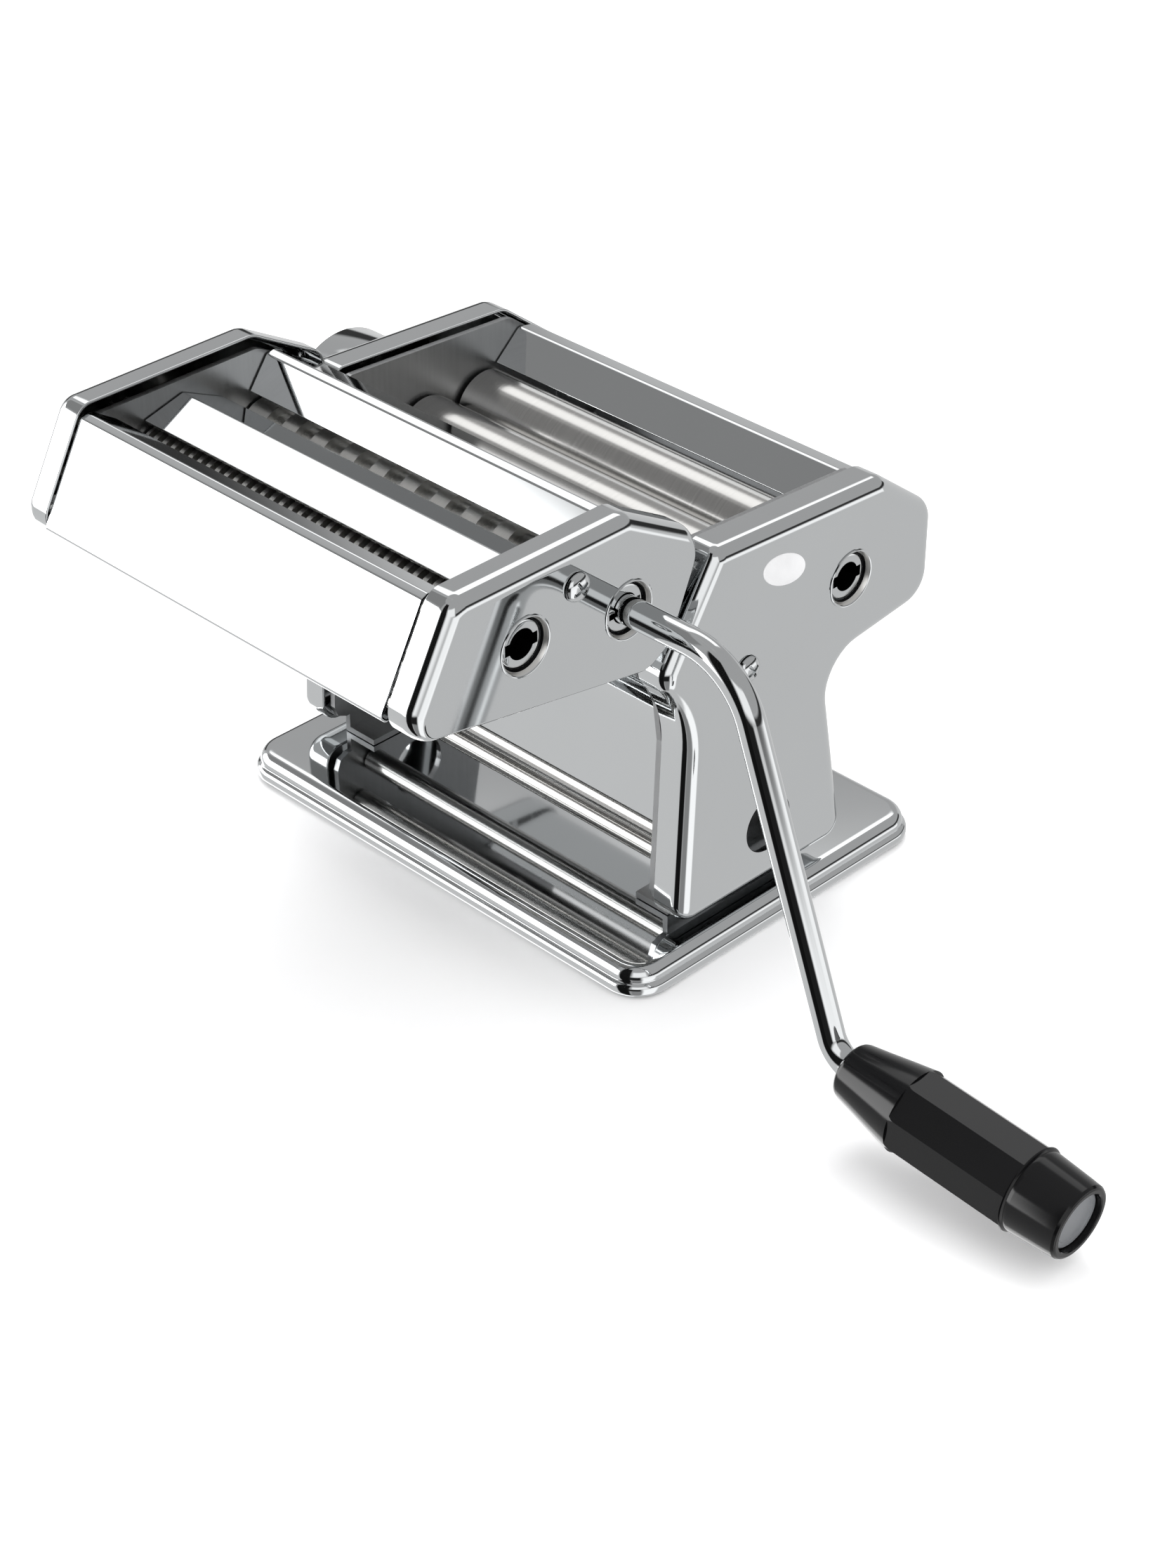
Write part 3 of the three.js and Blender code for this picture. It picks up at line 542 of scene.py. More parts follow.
def make_materials(colours):
    round_marks = (2500, 40, 40)  # marks that ring a roller: 0.4 mm apart along X
    MATERIALS["chrome"] = polished_chrome(tuple(colours.chrome))
    MATERIALS["steel"] = ground_steel("ground_roller_steel", tuple(colours.steel), 0.12, 0.3,
                                      round_marks)
    MATERIALS["cutter"] = ground_steel("machined_cutter_steel", linear("#E2E1DE"), 0.3, 0.45,
                                       round_marks)
    # Dark steel laid only in the sockets' holes and in the gaps round the sockets and bezels:
    # painted shade.
    MATERIALS["black"] = ground_steel("black_oxide_steel", linear("#1A1A1B"), 0.4, 0.6,
                                      (600, 600, 600))
    MATERIALS["plate"] = ground_steel("rolled_steel_plate", linear("#A3A4A5"), 0.25, 0.5,
                                      (60, 900, 60))
    MATERIALS["gear"] = ground_steel("machined_gear_steel", linear("#9C9A95"), 0.25, 0.45,
                                     (800, 800, 800))
    MATERIALS["brass"] = ground_steel("sintered_bronze", linear("#A9854A"), 0.3, 0.5,
                                      (900, 900, 900))
    MATERIALS["grip"] = moulded_plastic("gloss_black_abs", tuple(colours.grip), 0.12, 2500, 0.01,
                                        0.25)
    MATERIALS["disc"] = moulded_plastic("grey_satin_abs", tuple(colours.disc), 0.4, 2500, 0.03)
    MATERIALS["rubber"] = moulded_plastic("black_rubber", linear("#161616"), 0.8, 1500, 0.08)
    MATERIALS["label"] = moulded_plastic("white_label_film", linear("#D0D0D1"), 0.45, 3000, 0.01)


# ---- pieces ----------------------------------------------------------------------------------
class PASTA_OT_base(bpy.types.Operator):
    """Presses the base tray with its double-ribbed rim"""
    bl_idname = "pasta.base"
    bl_label = "Base tray"

    def execute(self, context):
        sheet = context.scene.machine_sizes.sheet / MM
        half_x, front, back, corner = 91, -65, 66, 12
        corners = [(-half_x, front, corner, 1), (-half_x, back, corner, 1),
                   (half_x, back, corner, 1), (half_x, front, corner, 1)]
        # (inset, height) up the rim: a lower rib, a groove, and the roll up to the top
        outer = [(0.7, 0.8), (0.2, 1.1), (0, 1.9), (0, 3.3), (0.25, 4.1), (0.8, 4.7), (1.4, 4.95),
                 (1.5, 5.15), (1.4, 5.5), (1.4, 6.2), (1.65, 7.2), (2.2, 8.2), (3, 9.05),
                 (3.9, 9.55), (4.9, 9.7), (5.6, 9.7)]
        inner = [(inset + sheet, max(0.8, z - sheet * min(1, (z - 0.8) / 8)))
                 for inset, z in reversed(outer[1:])]
        rings = [[at(*point, z) for point in inset_outline(corners, lambda _: inset, 16)]
                 for inset, z in list(reversed(outer)) + list(reversed(inner))]
        piece = ring_stack("tray_shell", rings)
        smooth(piece, 50)
        finish_piece(piece, "frame", MATERIALS["chrome"], "chrome", "base_tray")
        return {"FINISHED"}


class PASTA_OT_cheeks(bpy.types.Operator):
    """Presses the machine's two cheeks and the cutter head's two cheeks, with their holes"""
    bl_idname = "pasta.cheeks"
    bl_label = "Cheeks"

    def execute(self, context):
        sizes = context.scene.machine_sizes
        for side, word in ((1, "crank_side"), (-1, "knob_side")):
            through = (side * (CHEEK_FACE - 7.1), side * (CHEEK_FACE + 4.9))
            piece = pressed_cheek(f"cheek_shell_{word}", CHEEK_OUTLINE, CHEEK_RIM, CHEEK_FACE,
                                  side, sizes)
            tools = [cylinder(CLAMP_HOLE_R, *through, *CLAMP_HOLE),
                     cylinder(SCREW_HOLE_R, *through, *CHEEK_SCREW)]
            if side > 0:
                tools.append(cylinder(BEZEL_HOLE_R, *through, DRIVE_Y, ROLLER_Z))
            else:
                tools.append(cylinder(SHAFT_HOLE_R, *through, KNOB_Y, ROLLER_Z))
                for i in range(SETTINGS):
                    angle = i * math.pi / (SETTINGS - 1)
                    tools.append(cylinder(SETTING_HOLE_R, *through,
                                          KNOB_Y + SETTINGS_R * math.sin(angle),
                                          ROLLER_Z + SETTINGS_R * math.cos(angle), 24))
            cut(piece, tools)
            smooth_flats(piece)
            finish_piece(piece, "frame", MATERIALS["chrome"], "chrome", f"cheek_{word}")

            piece = pressed_cheek(f"cutter_shell_{word}", CUTTER_OUTLINE, CUTTER_RIM, CUTTER_FACE,
                                  side, sizes)
            through = (side * (CUTTER_FACE - 6.2), side * (CUTTER_FACE + 5.8))
            tools = [cylinder(SCREW_HOLE_R, *through, *CUTTER_SCREW)]
            if side > 0:
                tools += [cylinder(BEZEL_HOLE_R, *through, *place) for place in (FINE[0], WIDE[0])]
            cut(piece, tools)
            smooth_flats(piece)
            finish_piece(piece, "cutter", MATERIALS["chrome"], "chrome", f"cutter_cheek_{word}")
        return {"FINISHED"}


class PASTA_OT_sheets(bpy.types.Operator):
    """Folds the aprons, the hopper tray and the cutter head's cover, divider and guide"""
    bl_idname = "pasta.sheets"
    bl_label = "Folded sheets"

    def execute(self, context):
        thickness = context.scene.machine_sizes.cover
        wide = (-SHEET_HALF, SHEET_HALF)
        inside = (-CUTTER_SHEET_HALF, CUTTER_SHEET_HALF)
        apron_arc = [(-72.8 + 36 * math.cos(a), 76.5 + 36 * math.sin(a))
                     for a in (math.radians(45 * i / 12) for i in range(13))]
        # name, path, bend radii, ends, body, the CAD node that it replaces
        jobs = (
            ("hopper_sheet", [(35.2, 121.2), (45.5, 130.3), (51.5, 129.2), (54, 124.5)], [1.5, 1.5],
             wide, "frame", "hopper_tray"),
            ("rear_apron_sheet", [(62.8, 116), (62.8, 85.8), (26, 85.4)], [8], wide, "frame",
             "rear_apron"),
            ("front_apron_sheet", [(-38.2, 46)] + apron_arc, [], wide, "frame", "front_apron"),
            ("cutter_cover_sheet",
             [(-121.2, 160.2), (-126.6, 161.7), (-128.6, 160.8), (-144.6, 131.1), (-142.9, 129.5),
              (-139, 130.2)], [0.6, 0.6, 0.8, 0.8], (-73.2, 71.6), "cutter", "cutter_front_cover"),
            ("cutter_divider_sheet",
             [(-107.9, 153.2), (-93.4, 157), (-78.6, 150.2), (-77.2, 148.6)],
             [0.8, 1], inside, "cutter", "cutter_divider"),
            ("cutter_guide_sheet",
             [(-67.6, 148.4), (-60.5, 158.2), (-58, 158.8), (-38.4, 146.6), (-37.6, 144.6),
              (-41.5, 134)], [0.8, 0.8, 0.8, 0.8], inside, "cutter", "cutter_rear_guide"),
        )
        for name, path, radii, ends, body, replaced in jobs:
            piece = folded_sheet(name, path, radii, thickness, ends)
            finish_piece(piece, body, MATERIALS["chrome"], "chrome", replaced)
        return {"FINISHED"}


class PASTA_OT_rollers(bpy.types.Operator):
    """Turns the smooth rollers and the tie rods"""
    bl_idname = "pasta.rollers"
    bl_label = "Smooth rollers"

    def execute(self, context):
        r = context.scene.machine_sizes.roller / MM
        end, edge = ROLLER_HALF, 0.6
        barrel = [(-end, r - edge), (edge - end, r), (end - edge, r), (end, r - edge)]
        drive = turned("drive_roller_turned", [
            (-83.5, 0), (-83.5, 5.6), (-83.1, 6), (-end, 6), *barrel, (end, 6), (74.5, 6),
            (74.5, 0)], DRIVE_Y, ROLLER_Z, 128)
        finish_piece(drive, "drive", MATERIALS["steel"], "steel", "drive_roller")
        idle = turned("idle_roller_turned", [
            (-83.4, 5.6), (-83.4, 8), (-end, 8), *barrel, (end, 7.7), (58, 7.7), (58, 5.6)],
            IDLE_Y, ROLLER_Z, 128)
        finish_piece(idle, "idle", MATERIALS["steel"], "steel", "idle_roller")
        rods = (("tie_rod_upper_front", -31, 38, 4, "frame"),
                ("tie_rod_lower_front", -25, 24, 4, "frame"),
                ("tie_rod_rear", 20, 30, 4, "frame"),
                ("cutter_tie_rod", -93, 132.5, 2.6, "cutter"))
        for name, y, z, radius, body in rods:
            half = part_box(name)[1][0] - ORIGIN.x
            piece = round_bar(f"{name}_turned", -half / MM, half / MM, radius, y, z)
            finish_piece(piece, body, MATERIALS["steel"], "steel", name)
        return {"FINISHED"}


def ridged_profile(pitch, ridge_first, half, left, right):
    """The outline of a cutting roller: ridges and grooves that mesh with its partner's."""
    outer, inner, clearance, journal, chamfer = 9.6, 6.6, 0.14, 4, 0.3
    points = [(left, 0), (left, journal - chamfer), (left + chamfer, journal), (-half, journal)]
    count = int(2 * half / pitch)
    x = -count * pitch / 2
    level = outer if ridge_first else inner
    points.append((-half, level))
    for i in range(2 * count):
        edge = x + (i + 0.5) * pitch / 2
        shift = -clearance if level == outer else clearance
        other = inner if level == outer else outer
        points += [(edge + shift, level), (edge + shift, other)]
        level = other
    points += [(half, level), (half, journal), (right - chamfer, journal),
               (right, journal - chamfer), (right, 0)]
    return points


class PASTA_OT_cutters(bpy.types.Operator):
    """Turns the four ridged cutting rollers"""
    bl_idname = "pasta.cutters"
    bl_label = "Cutting rollers"

    def execute(self, context):
        sizes = context.scene.machine_sizes
        for kind, pair, pitch, steps in (("fine", FINE, sizes.fine_pitch / MM, 40),
                                         ("wide", WIDE, sizes.wide_pitch / MM, 80)):
            for role, (y, z), right in (("driven", pair[0], 74.6), ("idle", pair[1], 73.4)):
                profile = ridged_profile(pitch, role == "driven", 70.3, -81.8, right)
                piece = turned(f"{kind}_cutter_{role}_turned", profile, y, z, steps)
                finish_piece(piece, f"{kind}_{role}", MATERIALS["cutter"], "steel",
                             f"{kind}_cutter_{role}")
        return {"FINISHED"}


class PASTA_OT_sockets(bpy.types.Operator):
    """Makes the crank sockets and the bezels round them"""
    bl_idname = "pasta.sockets"
    bl_label = "Sockets and bezels"

    def execute(self, context):
        jobs = (("drive", (DRIVE_Y, ROLLER_Z), 74.8, 77.9, CHEEK_FACE, "drive", "frame"),
                ("fine", FINE[0], 74.9, 76.7, CUTTER_FACE, "fine_driven", "cutter"),
                ("wide", WIDE[0], 74.9, 76.7, CUTTER_FACE, "wide_driven", "cutter"))
        for kind, (y, z), x0, floor, face, body, holder in jobs:
            x1 = face - RECESS
            piece = turned(f"{kind}_socket_turned", [
                (x0, 0), (x0, SOCKET_R), (x1 - 0.7, SOCKET_R), (x1 - 0.2, SOCKET_R - 0.2),
                (x1, SOCKET_R - 0.7), (x1, 0)], y, z, 80)
            cut(piece, [cylinder(SOCKET_HOLE_R, floor, x1 + 1, y, z),
                        block(floor, x1 + 1, y - SLOT_REACH, y + SLOT_REACH,
                              z - SLOT_HALF, z + SLOT_HALF)])
            soften(piece, 0.25 * MM, angle=50)
            finish_piece(piece, body, MATERIALS["chrome"], "steel", f"{kind}_socket")
            # Painted shade: black inside the hole and down the outside, in the gap to the bezel,
            # where shade falls.
            refinish_or_paint_shade(piece, "black", y, z, lambda x, r: (r < SLOT_REACH + 0.2 and x < x1 - 0.35
                                                         or r > SOCKET_R - 0.1 and x < x1 - 0.7))
            piece = turned(f"{kind}_bezel_turned", [
                (face - 1.9, 7.6), (face - 1.9, 8.4), (face - 0.5, 8.95), (face + 0.05, 9.4),
                (face + 0.3, 9.35), (face + 0.42, 9.15), (face + 0.38, 8.9), (face + 0.15, 8.6),
                (face - 1.1, 8)], y, z, 80)
            finish_piece(piece, holder, MATERIALS["chrome"], "chrome", f"{kind}_bezel")
            # A satin funnel towards the socket, and painted shade: black on the inner wall where it
            # meets the gap.
            refinish_or_paint_shade(piece, "cutter", y, z, lambda x, r: 8 < r < 8.5 and x > face - 1.2)
            refinish_or_paint_shade(piece, "black", y, z, lambda x, r: r < 8)
        return {"FINISHED"}


class PASTA_OT_screws(bpy.types.Operator):
    """Makes the pan-head screws with their cross recesses"""
    bl_idname = "pasta.screws"
    bl_label = "Screws"

    def execute(self, context):
        head_r, head_height, shank_r, shank_length = 4.4, 2.2, 2, 10
        long, short = 2.6, 0.5  # half sizes of the cross recess
        jobs = (("cheek_screw_crank_side", CHEEK_SCREW, CHEEK_FACE, 1, "frame"),
                ("cheek_screw_knob_side", CHEEK_SCREW, CHEEK_FACE, -1, "frame"),
                ("cutter_screw", CUTTER_SCREW, CUTTER_FACE, 1, "cutter"))
        for name, (y, z), face, side, body in jobs:
            seat = face + 0.3
            dome = [(seat + head_height * math.cos(a), head_r * math.sin(a))
                    for a in (math.radians(10 * i) for i in range(10))]
            profile = dome + [(seat, head_r), (seat, shank_r), (seat - shank_length, shank_r),
                              (seat - shank_length, 0)]
            piece = turned(f"{name}_turned", [(side * x, max(0, r)) for x, r in profile], y, z, 48)
            reach = sorted((side * (seat + 0.9), side * (seat + 4)))
            cut(piece, [block(*reach, y - long, y + long, z - short, z + short, 30),
                        block(*reach, y - short, y + short, z - long, z + long, 30)])
            soften(piece, 0.12 * MM, angle=50)
            finish_piece(piece, body, MATERIALS["chrome"], "chrome", name)
        return {"FINISHED"}


class PASTA_OT_adjuster(bpy.types.Operator):
    """Turns the thickness knob, its pin and its washer, and winds its spring"""
    bl_idname = "pasta.adjuster"
    bl_label = "Thickness adjuster"

    def execute(self, context):
        inner, outer, r = -90.5, -112.0, 23.0
        knob = turned("knob_turned", [
            (inner, 6.5), (inner, 21.6), (inner - 0.3, 22.4), (inner - 1.1, r), (outer + 3.6, r),
            (outer + 3.1, r - 0.2), (outer + 0.7, r - 2.5), (outer + 0.15, r - 3.1),
            (outer, r - 3.8), (outer, 13.4), (outer + 0.3, 12.5), (outer + 1.1, 12), (-100.6, 12),
            (-100.6, 6.5)],
            KNOB_Y, ROLLER_Z, 160)
        smooth(knob, 50)
        finish_piece(knob, "knob", MATERIALS["chrome"], "chrome", "adjuster_knob")
        pin = round_bar("knob_pin", -92, -87.4, 1.4, KNOB_Y, ROLLER_Z + SETTINGS_R, 24, 0.3)
        finish_piece(pin, "knob", MATERIALS["steel"], "steel")
        washer = turned("adjuster_washer_turned", [
            (-109.3, 0), (-109.3, 9.3), (-109.6, 9.6), (-110.3, 9.6), (-110.6, 9.3), (-110.6, 4.2),
            (-110.9, 4), (-111, 3.4), (-111, 0)], KNOB_Y, ROLLER_Z, 64)
        slot = block(-112, -110.7, KNOB_Y - 3.2, KNOB_Y + 3.2, ROLLER_Z - 0.5, ROLLER_Z + 0.5)
        cut(washer, [slot])
        finish_piece(washer, "adjuster", MATERIALS["chrome"], "chrome", "adjuster_washer")
        spring_r, wire, x0, x1, turns = 8.4, 0.6, -108.3, -101.7, 4
        clear_selection()
        bpy.ops.mesh.primitive_circle_add(vertices=10, radius=wire * MM, fill_type="NOTHING")
        spring = start("knob_spring_wound")
        for vertex in spring.data.vertices:
            flat = vertex.co / MM
            vertex.co = Vector((flat.y * MM, 0, (spring_r + flat.x) * MM))
        modify(spring, "SCREW", axis="X", screw_offset=(x1 - x0) / turns * MM, iterations=turns,
               steps=32, render_steps=32, use_merge_vertices=False)
        spring.location = at(x0, KNOB_Y, ROLLER_Z)
        settle(spring)
        edit(spring)
        bpy.ops.mesh.select_mode(type="EDGE")
        bpy.ops.mesh.select_non_manifold()
        bpy.ops.mesh.edge_face_add()
        leave_edit()
        close_seams(spring)
        smooth(spring, 50)
        finish_piece(spring, "adjuster", MATERIALS["gear"], "steel", "knob_spring")
        return {"FINISHED"}


class PASTA_OT_crank(bpy.types.Operator):
    """Bends the crank rod from a round bar"""
    bl_idname = "pasta.crank"
    bl_label = "Crank rod"

    def execute(self, context):
        radius = context.scene.machine_sizes.rod
        y, z = WIDE[0]
        arm = (Vector(ELBOW) - Vector(SHOULDER)).normalized()
        axle = Vector((1, GRIP_SLOPE)).normalized()
        into = Vector((1, 0))
        shoulder_turn = into.angle(arm)
        elbow_turn = arm.angle(axle)
        shoulder_reach = SHOULDER_R * math.tan(shoulder_turn / 2)
        elbow_reach = ELBOW_R * math.tan(elbow_turn / 2)
        clear_selection()
        bpy.ops.mesh.primitive_circle_add(
            vertices=40, radius=radius, fill_type="NGON", rotation=(0, math.pi / 2, 0),
            location=at(CRANK_START, y, z))
        piece = start("crank_rod_bent")
        settle(piece)
        edit(piece)
        bpy.ops.mesh.select_all(action="SELECT")
        push(Vector(((SHOULDER[0] - shoulder_reach - CRANK_START) * MM, 0, 0)))
        centre = at(SHOULDER[0] - shoulder_reach, y, SHOULDER[1] - SHOULDER_R)
        bpy.ops.mesh.spin(steps=24, angle=-shoulder_turn, center=centre, axis=(0, 1, 0))
        straight = (Vector(ELBOW) - Vector(SHOULDER)).length - shoulder_reach - elbow_reach
        push(Vector((arm.x, 0, arm.y)) * straight * MM)
        bend_start = Vector(ELBOW) - arm * elbow_reach
        across = Vector((-arm.y, arm.x))  # to the left of the arm's run, where the grip lies
        middle = bend_start + across * ELBOW_R
        bpy.ops.mesh.spin(steps=18, angle=elbow_turn, center=at(middle.x, y, middle.y),
                          axis=(0, 1, 0))
        tail = GRIP_START + GRIP_LENGTH - 6 - (ELBOW[0] + axle.x * elbow_reach)
        push(Vector((axle.x, 0, axle.y)) * tail / axle.x * MM)
        leave_edit()
        close_seams(piece)
        soften(piece, 0.4 * MM, angle=60)
        finish_piece(piece, "crank", MATERIALS["chrome"], "chrome", "crank_rod")
        pin = turned("crank_cross_pin", [
            (-5.8, 0), (-5.8, 1.1), (-5.5, 1.4), (5.5, 1.4), (5.8, 1.1), (5.8, 0)], 0, 0, 32)
        turn_about(pin, (0, 0, 0), 90, "Z", (CROSS_PIN_X, y, z))
        finish_piece(pin, "crank", MATERIALS["chrome"], "chrome")
        return {"FINISHED"}


def along_grip(piece):
    """Turns a piece made on the X axis onto the grip's axis."""
    z = ELBOW[1] + (GRIP_START - ELBOW[0]) * GRIP_SLOPE
    turn_about(piece, (0, 0, 0), -math.degrees(math.atan(GRIP_SLOPE)), "Y",
               (GRIP_START, WIDE[0][0], z))


class PASTA_OT_grip(bpy.types.Operator):
    """Moulds the black grip with its flat panels, and the disc in its end"""
    bl_idname = "pasta.grip"
    bl_label = "Grip"

    def execute(self, context):
        r = context.scene.machine_sizes.grip / MM
        length = GRIP_LENGTH - 1  # the rod ends 1 mm further out, under the disc
        panels = 8
        flat = r * math.cos(math.pi / panels) - 0.1
        profile = [
            (0, 4.7), (0, 7.2), (0.25, 7.9), (0.9, 8.5), (1.9, 8.9), (0.1 * length, 10.1),
            (0.2 * length, 11.8), (0.27 * length, 12.9), (0.3 * length, r - 0.15),
            (0.33 * length, r), (0.78 * length, r), (0.79 * length, r - 0.35),
            (0.795 * length, 12.5), (0.81 * length, 12.65), (0.95 * length, 11.9),
            (length - 1, 11.6), (length - 0.25, 11.1), (length, 10.5), (length, 9.4),
            (length - 0.3, 9.1), (length - 4, 9.1), (length - 4, 4.7)]
        piece = turned("crank_grip_moulded", profile, 0, 0, panels * 16, 40)
        # Flat panels along the middle, between the round nose and the end collar.
        tools = []
        for i in range(panels):
            tool = block(0.285 * length, 0.785 * length, -6, 6, flat, r + 4)
            turn_about(tool, (0, 0, 0), i * 360 / panels, "X")
            tools.append(tool)
        cut(piece, tools)
        soften(piece, 0.18 * MM, angle=17)
        along_grip(piece)
        finish_piece(piece, "grip", MATERIALS["grip"], "black_plastic", "crank_grip")
        disc = turned("grip_disc_moulded", [
            (length - 3.4, 0), (length - 3.4, 8.8), (length - 2.0, 8.8), (length - 1.8, 8.5),
            (length - 1.8, 7.2), (length - 2.1, 6.9), (length - 2.1, 0)], 0, 0, 64)
        along_grip(disc)
        finish_piece(disc, "grip", MATERIALS["disc"], "grey_plastic", "grip_end_cap")
        return {"FINISHED"}


class PASTA_OT_label(bpy.types.Operator):
    """Lays the blank oval label on the crank side cheek"""
    bl_idname = "pasta.label"
    bl_label = "Blank label"

    def execute(self, context):
        y, z = -1.8, 124.2
        half_length, half_width, film = 9.6, 5.088, 0.12
        top = CHEEK_FACE + film
        piece = turned("label_film", [(CHEEK_FACE, 0), (CHEEK_FACE, half_length),
                                      (top, half_length - 0.1), (top, 0)], y, z, 96)
        pivot = at(CHEEK_FACE, y, z)
        flatten = Matrix.Diagonal((1, 1, half_width / half_length, 1))
        piece.data.transform(Matrix.Translation(pivot) @ flatten @ Matrix.Translation(-pivot))
        turn_about(piece, (CHEEK_FACE, y, z), -20, "X")
        finish_piece(piece, "frame", MATERIALS["label"], "grey_plastic")
        return {"FINISHED"}


class PASTA_OT_finishes(bpy.types.Operator):
    """Gives the CAD nodes that stay in view their finishes"""
    bl_idname = "pasta.finishes"
    bl_label = "Finishes of the plain parts"

    def execute(self, context):
        words = (("foot_", "rubber"), ("_gear", "gear"), ("bush", "brass"), ("plate", "plate"),
                 ("scraper", "plate"), ("comb", "plate"), ("shaft", "steel"))
        for name, piece in NODES.items():
            finish = next((value for word, value in words if word in name), "chrome")
            piece.data.materials.clear()
            piece.data.materials.append(MATERIALS[finish])
        return {"FINISHED"}


# ---- stage -----------------------------------------------------------------------------------
def reflected_patch(tree, turn, rise, below, value, az, el, soft):
    """Lays a soft-edged panel of light or shade over the studio that the chrome reflects."""
    weight = None
    for source, (low, high) in ((turn, az), (rise, el)):
        for edge, start_value, end_value in ((low, 0.0, 1.0), (high, 1.0, 0.0)):
            ramp = node(tree, "ShaderNodeMapRange", {
                "Value": source, "From Min": edge - soft, "From Max": edge + soft,
                "To Min": start_value, "To Max": end_value}, interpolation_type="SMOOTHSTEP")
            weight = (ramp, 0) if weight is None else (node(
                tree, "ShaderNodeMath", {0: weight, 1: (ramp, 0)}, operation="MULTIPLY"), 0)
    return (node(tree, "ShaderNodeMix", {0: weight, 2: below, 3: value}, data_type="FLOAT"), 0)


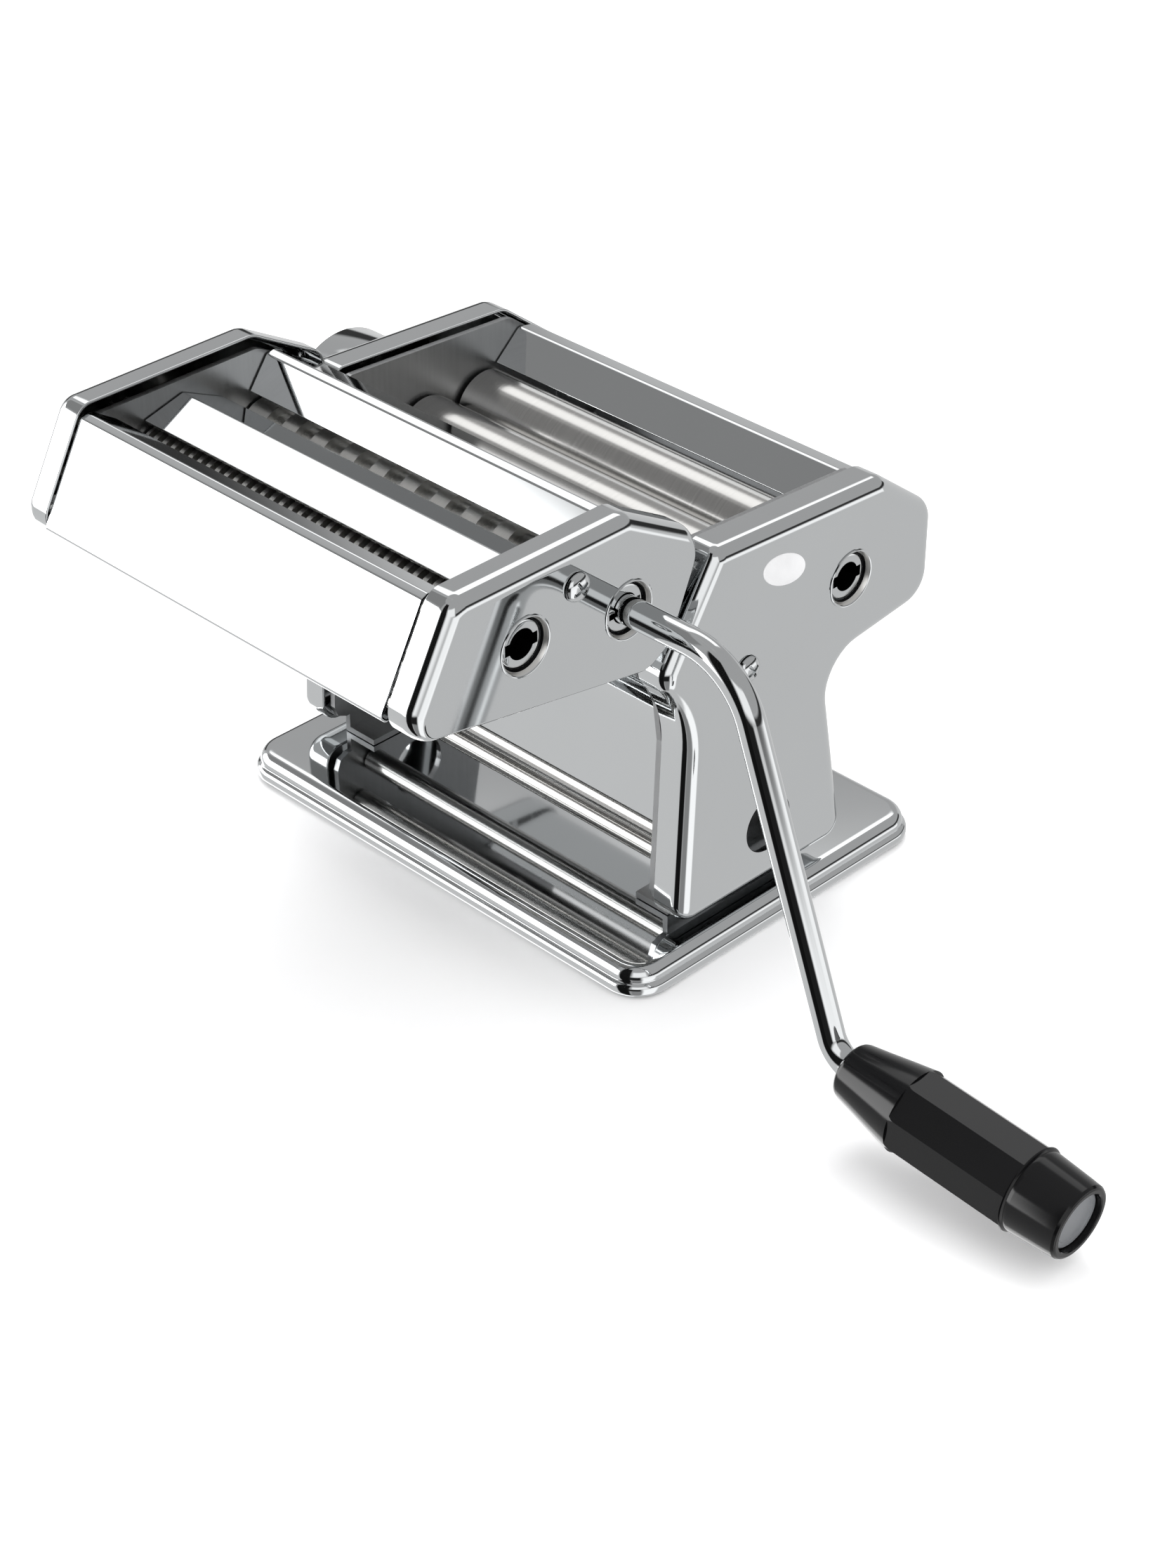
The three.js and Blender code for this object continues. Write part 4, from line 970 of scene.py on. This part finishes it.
class PASTA_OT_stage(bpy.types.Operator):
    """Sets the camera, the pale floor and the soft studio light"""
    bl_idname = "pasta.stage"
    bl_label = "Stage"

    def execute(self, context):
        scene = context.scene
        camera = bpy.data.objects.new("camera", bpy.data.cameras.new("camera"))
        scene.collection.objects.link(camera)
        camera.data.lens = 74.95
        azimuth, elevation = math.radians(44.89), math.radians(34.01)
        camera.rotation_euler = (math.pi / 2 - elevation, 0, azimuth)
        camera.location = at(621.8, -622.3, 600.6)
        camera.data.clip_end = 50
        scene.camera = camera

        clear_selection()
        bpy.ops.mesh.primitive_plane_add(size=30, location=(0, 0, -0.0002))
        floor = start("floor")
        made, tree, shader = material("white_studio_paper", {"Roughness": 0.9})
        grain = node(tree, "ShaderNodeTexNoise", {
            "Vector": (object_coordinates(tree, (8, 8, 8)), 0), "Scale": 1.0, "Detail": 2.0})
        tone = node(tree, "ShaderNodeMix", {
            "Factor": (grain, 0), 6: linear("#F6F6F7"), 7: linear("#FAFAFA")}, data_type="RGBA")
        tree.links.new(tone.outputs[2], shader.inputs["Base Color"])
        floor.data.materials.append(made)
        floor.visible_glossy = False  # the chrome reflects the studio round it instead

        world = bpy.data.worlds.new("studio")
        scene.world = world
        world.use_nodes = True
        tree = world.node_tree
        tree.nodes.clear()
        place = node(tree, "ShaderNodeTexCoord")
        parts = node(tree, "ShaderNodeSeparateXYZ", {0: (place, "Generated")})
        turn = node(tree, "ShaderNodeMath", {0: (parts, 1), 1: (parts, 0)}, operation="ARCTAN2")
        rise = node(tree, "ShaderNodeMath", {0: (parts, 2)}, operation="ARCSINE")
        turn = (node(tree, "ShaderNodeMath", {0: (turn, 0)}, operation="DEGREES"), 0)
        rise = (node(tree, "ShaderNodeMath", {0: (rise, 0)}, operation="DEGREES"), 0)
        # The studio as the chrome sees it, in degrees: (brightness, turn, rise, soft edge).
        panels = (
            (0.55, (-180, 180), (12, 90), 6),      # ceiling, soft grey
            (2.2, (-200, -160), (-80, -20), 6),    # table, left
            (2.2, (142, 200), (-80, -20), 6),      # table, left, on the seam's other side
            (7.0, (-172, -106), (-8, 24), 3),      # big white panel, front left
            (0.85, (-165, -104), (-75, -10), 4),   # pale table in front of it
            (0.35, (-64, -30), (-75, -22), 6),     # table in the camera's shade
            (0.01, (-101, -66), (-75, 62), 3),     # black flag beside the camera
            (0.02, (-70, -34), (-24, 1), 4),       # dark round the camera
            (1.4, (-60, -16), (6, 40), 4),         # white card above the camera
            (1.6, (-28, 13), (-62, -2), 5),        # white panel, right
            (1.5, (-28, 58), (-15, -2), 3),        # bright table, far right
            (0.04, (-12, 88), (1, 12), 3),         # dark horizon, right and behind
            (2.0, (100, 168), (36.5, 56), 3),      # overhead panel, behind left
            (0.05, (132, 175), (1, 17), 3),        # dark horizon, behind left
            (0.34, (-178, -118), (29, 60), 3),     # unlit corner, front left and above
        )
        level = 0.78
        for value, az, el, soft in panels:
            level = reflected_patch(tree, turn, rise, level, value, az, el, soft)
        path = node(tree, "ShaderNodeLightPath")
        plain = 1.45
        chosen = node(tree, "ShaderNodeMix", {0: (path, "Is Glossy Ray"), 2: plain, 3: level},
                      data_type="FLOAT")
        background = node(tree, "ShaderNodeBackground", {
            "Color": (1, 1, 1, 1), "Strength": (chosen, 0)})
        node(tree, "ShaderNodeOutputWorld", {0: (background, 0)})

        key = bpy.data.lights.new("key_panel", "AREA")
        key.shape = "RECTANGLE"
        key.size, key.size_y, key.energy = 0.9, 0.7, 12.0
        lamp = bpy.data.objects.new("key_panel", key)
        lamp.location = at(-500, 350, 1250)
        lamp.rotation_euler = (at(0, 0, 0) - lamp.location).to_track_quat("-Z", "Y").to_euler()
        lamp.visible_glossy = False
        scene.collection.objects.link(lamp)
        scene.view_settings.view_transform = "Standard"
        scene.view_settings.look = "None"
        return {"FINISHED"}


class PASTA_PT_panel(bpy.types.Panel):
    """Lists the machine's pieces in the 3D view's sidebar"""
    bl_idname = "PASTA_PT_panel"
    bl_label = "Pasta Machine"
    bl_space_type = "VIEW_3D"
    bl_region_type = "UI"
    bl_category = "Pasta Machine"

    def draw(self, context):
        for group in (context.scene.machine_sizes, context.scene.machine_colours):
            for name in group.__annotations__:
                self.layout.prop(group, name)
        for operator in OPERATORS:
            self.layout.operator(operator.bl_idname)


OPERATORS = (
    PASTA_OT_finishes, PASTA_OT_base, PASTA_OT_cheeks, PASTA_OT_sheets, PASTA_OT_rollers,
    PASTA_OT_cutters, PASTA_OT_sockets, PASTA_OT_screws, PASTA_OT_adjuster, PASTA_OT_crank,
    PASTA_OT_grip, PASTA_OT_label, PASTA_OT_stage,
)
CLASSES = (MachineSizes, MachineColours) + OPERATORS + (PASTA_PT_panel,)


def register():
    for cls in CLASSES:
        bpy.utils.register_class(cls)
    bpy.types.Scene.machine_sizes = bpy.props.PointerProperty(type=MachineSizes)
    bpy.types.Scene.machine_colours = bpy.props.PointerProperty(type=MachineColours)


def unregister():
    del bpy.types.Scene.machine_colours
    del bpy.types.Scene.machine_sizes
    for cls in reversed(CLASSES):
        bpy.utils.unregister_class(cls)


def main():
    register()
    make_materials(bpy.context.scene.machine_colours)
    for operator in OPERATORS:
        group, name = operator.bl_idname.split(".")
        getattr(getattr(bpy.ops, group), name)()


if __name__ == "__main__":
    main()
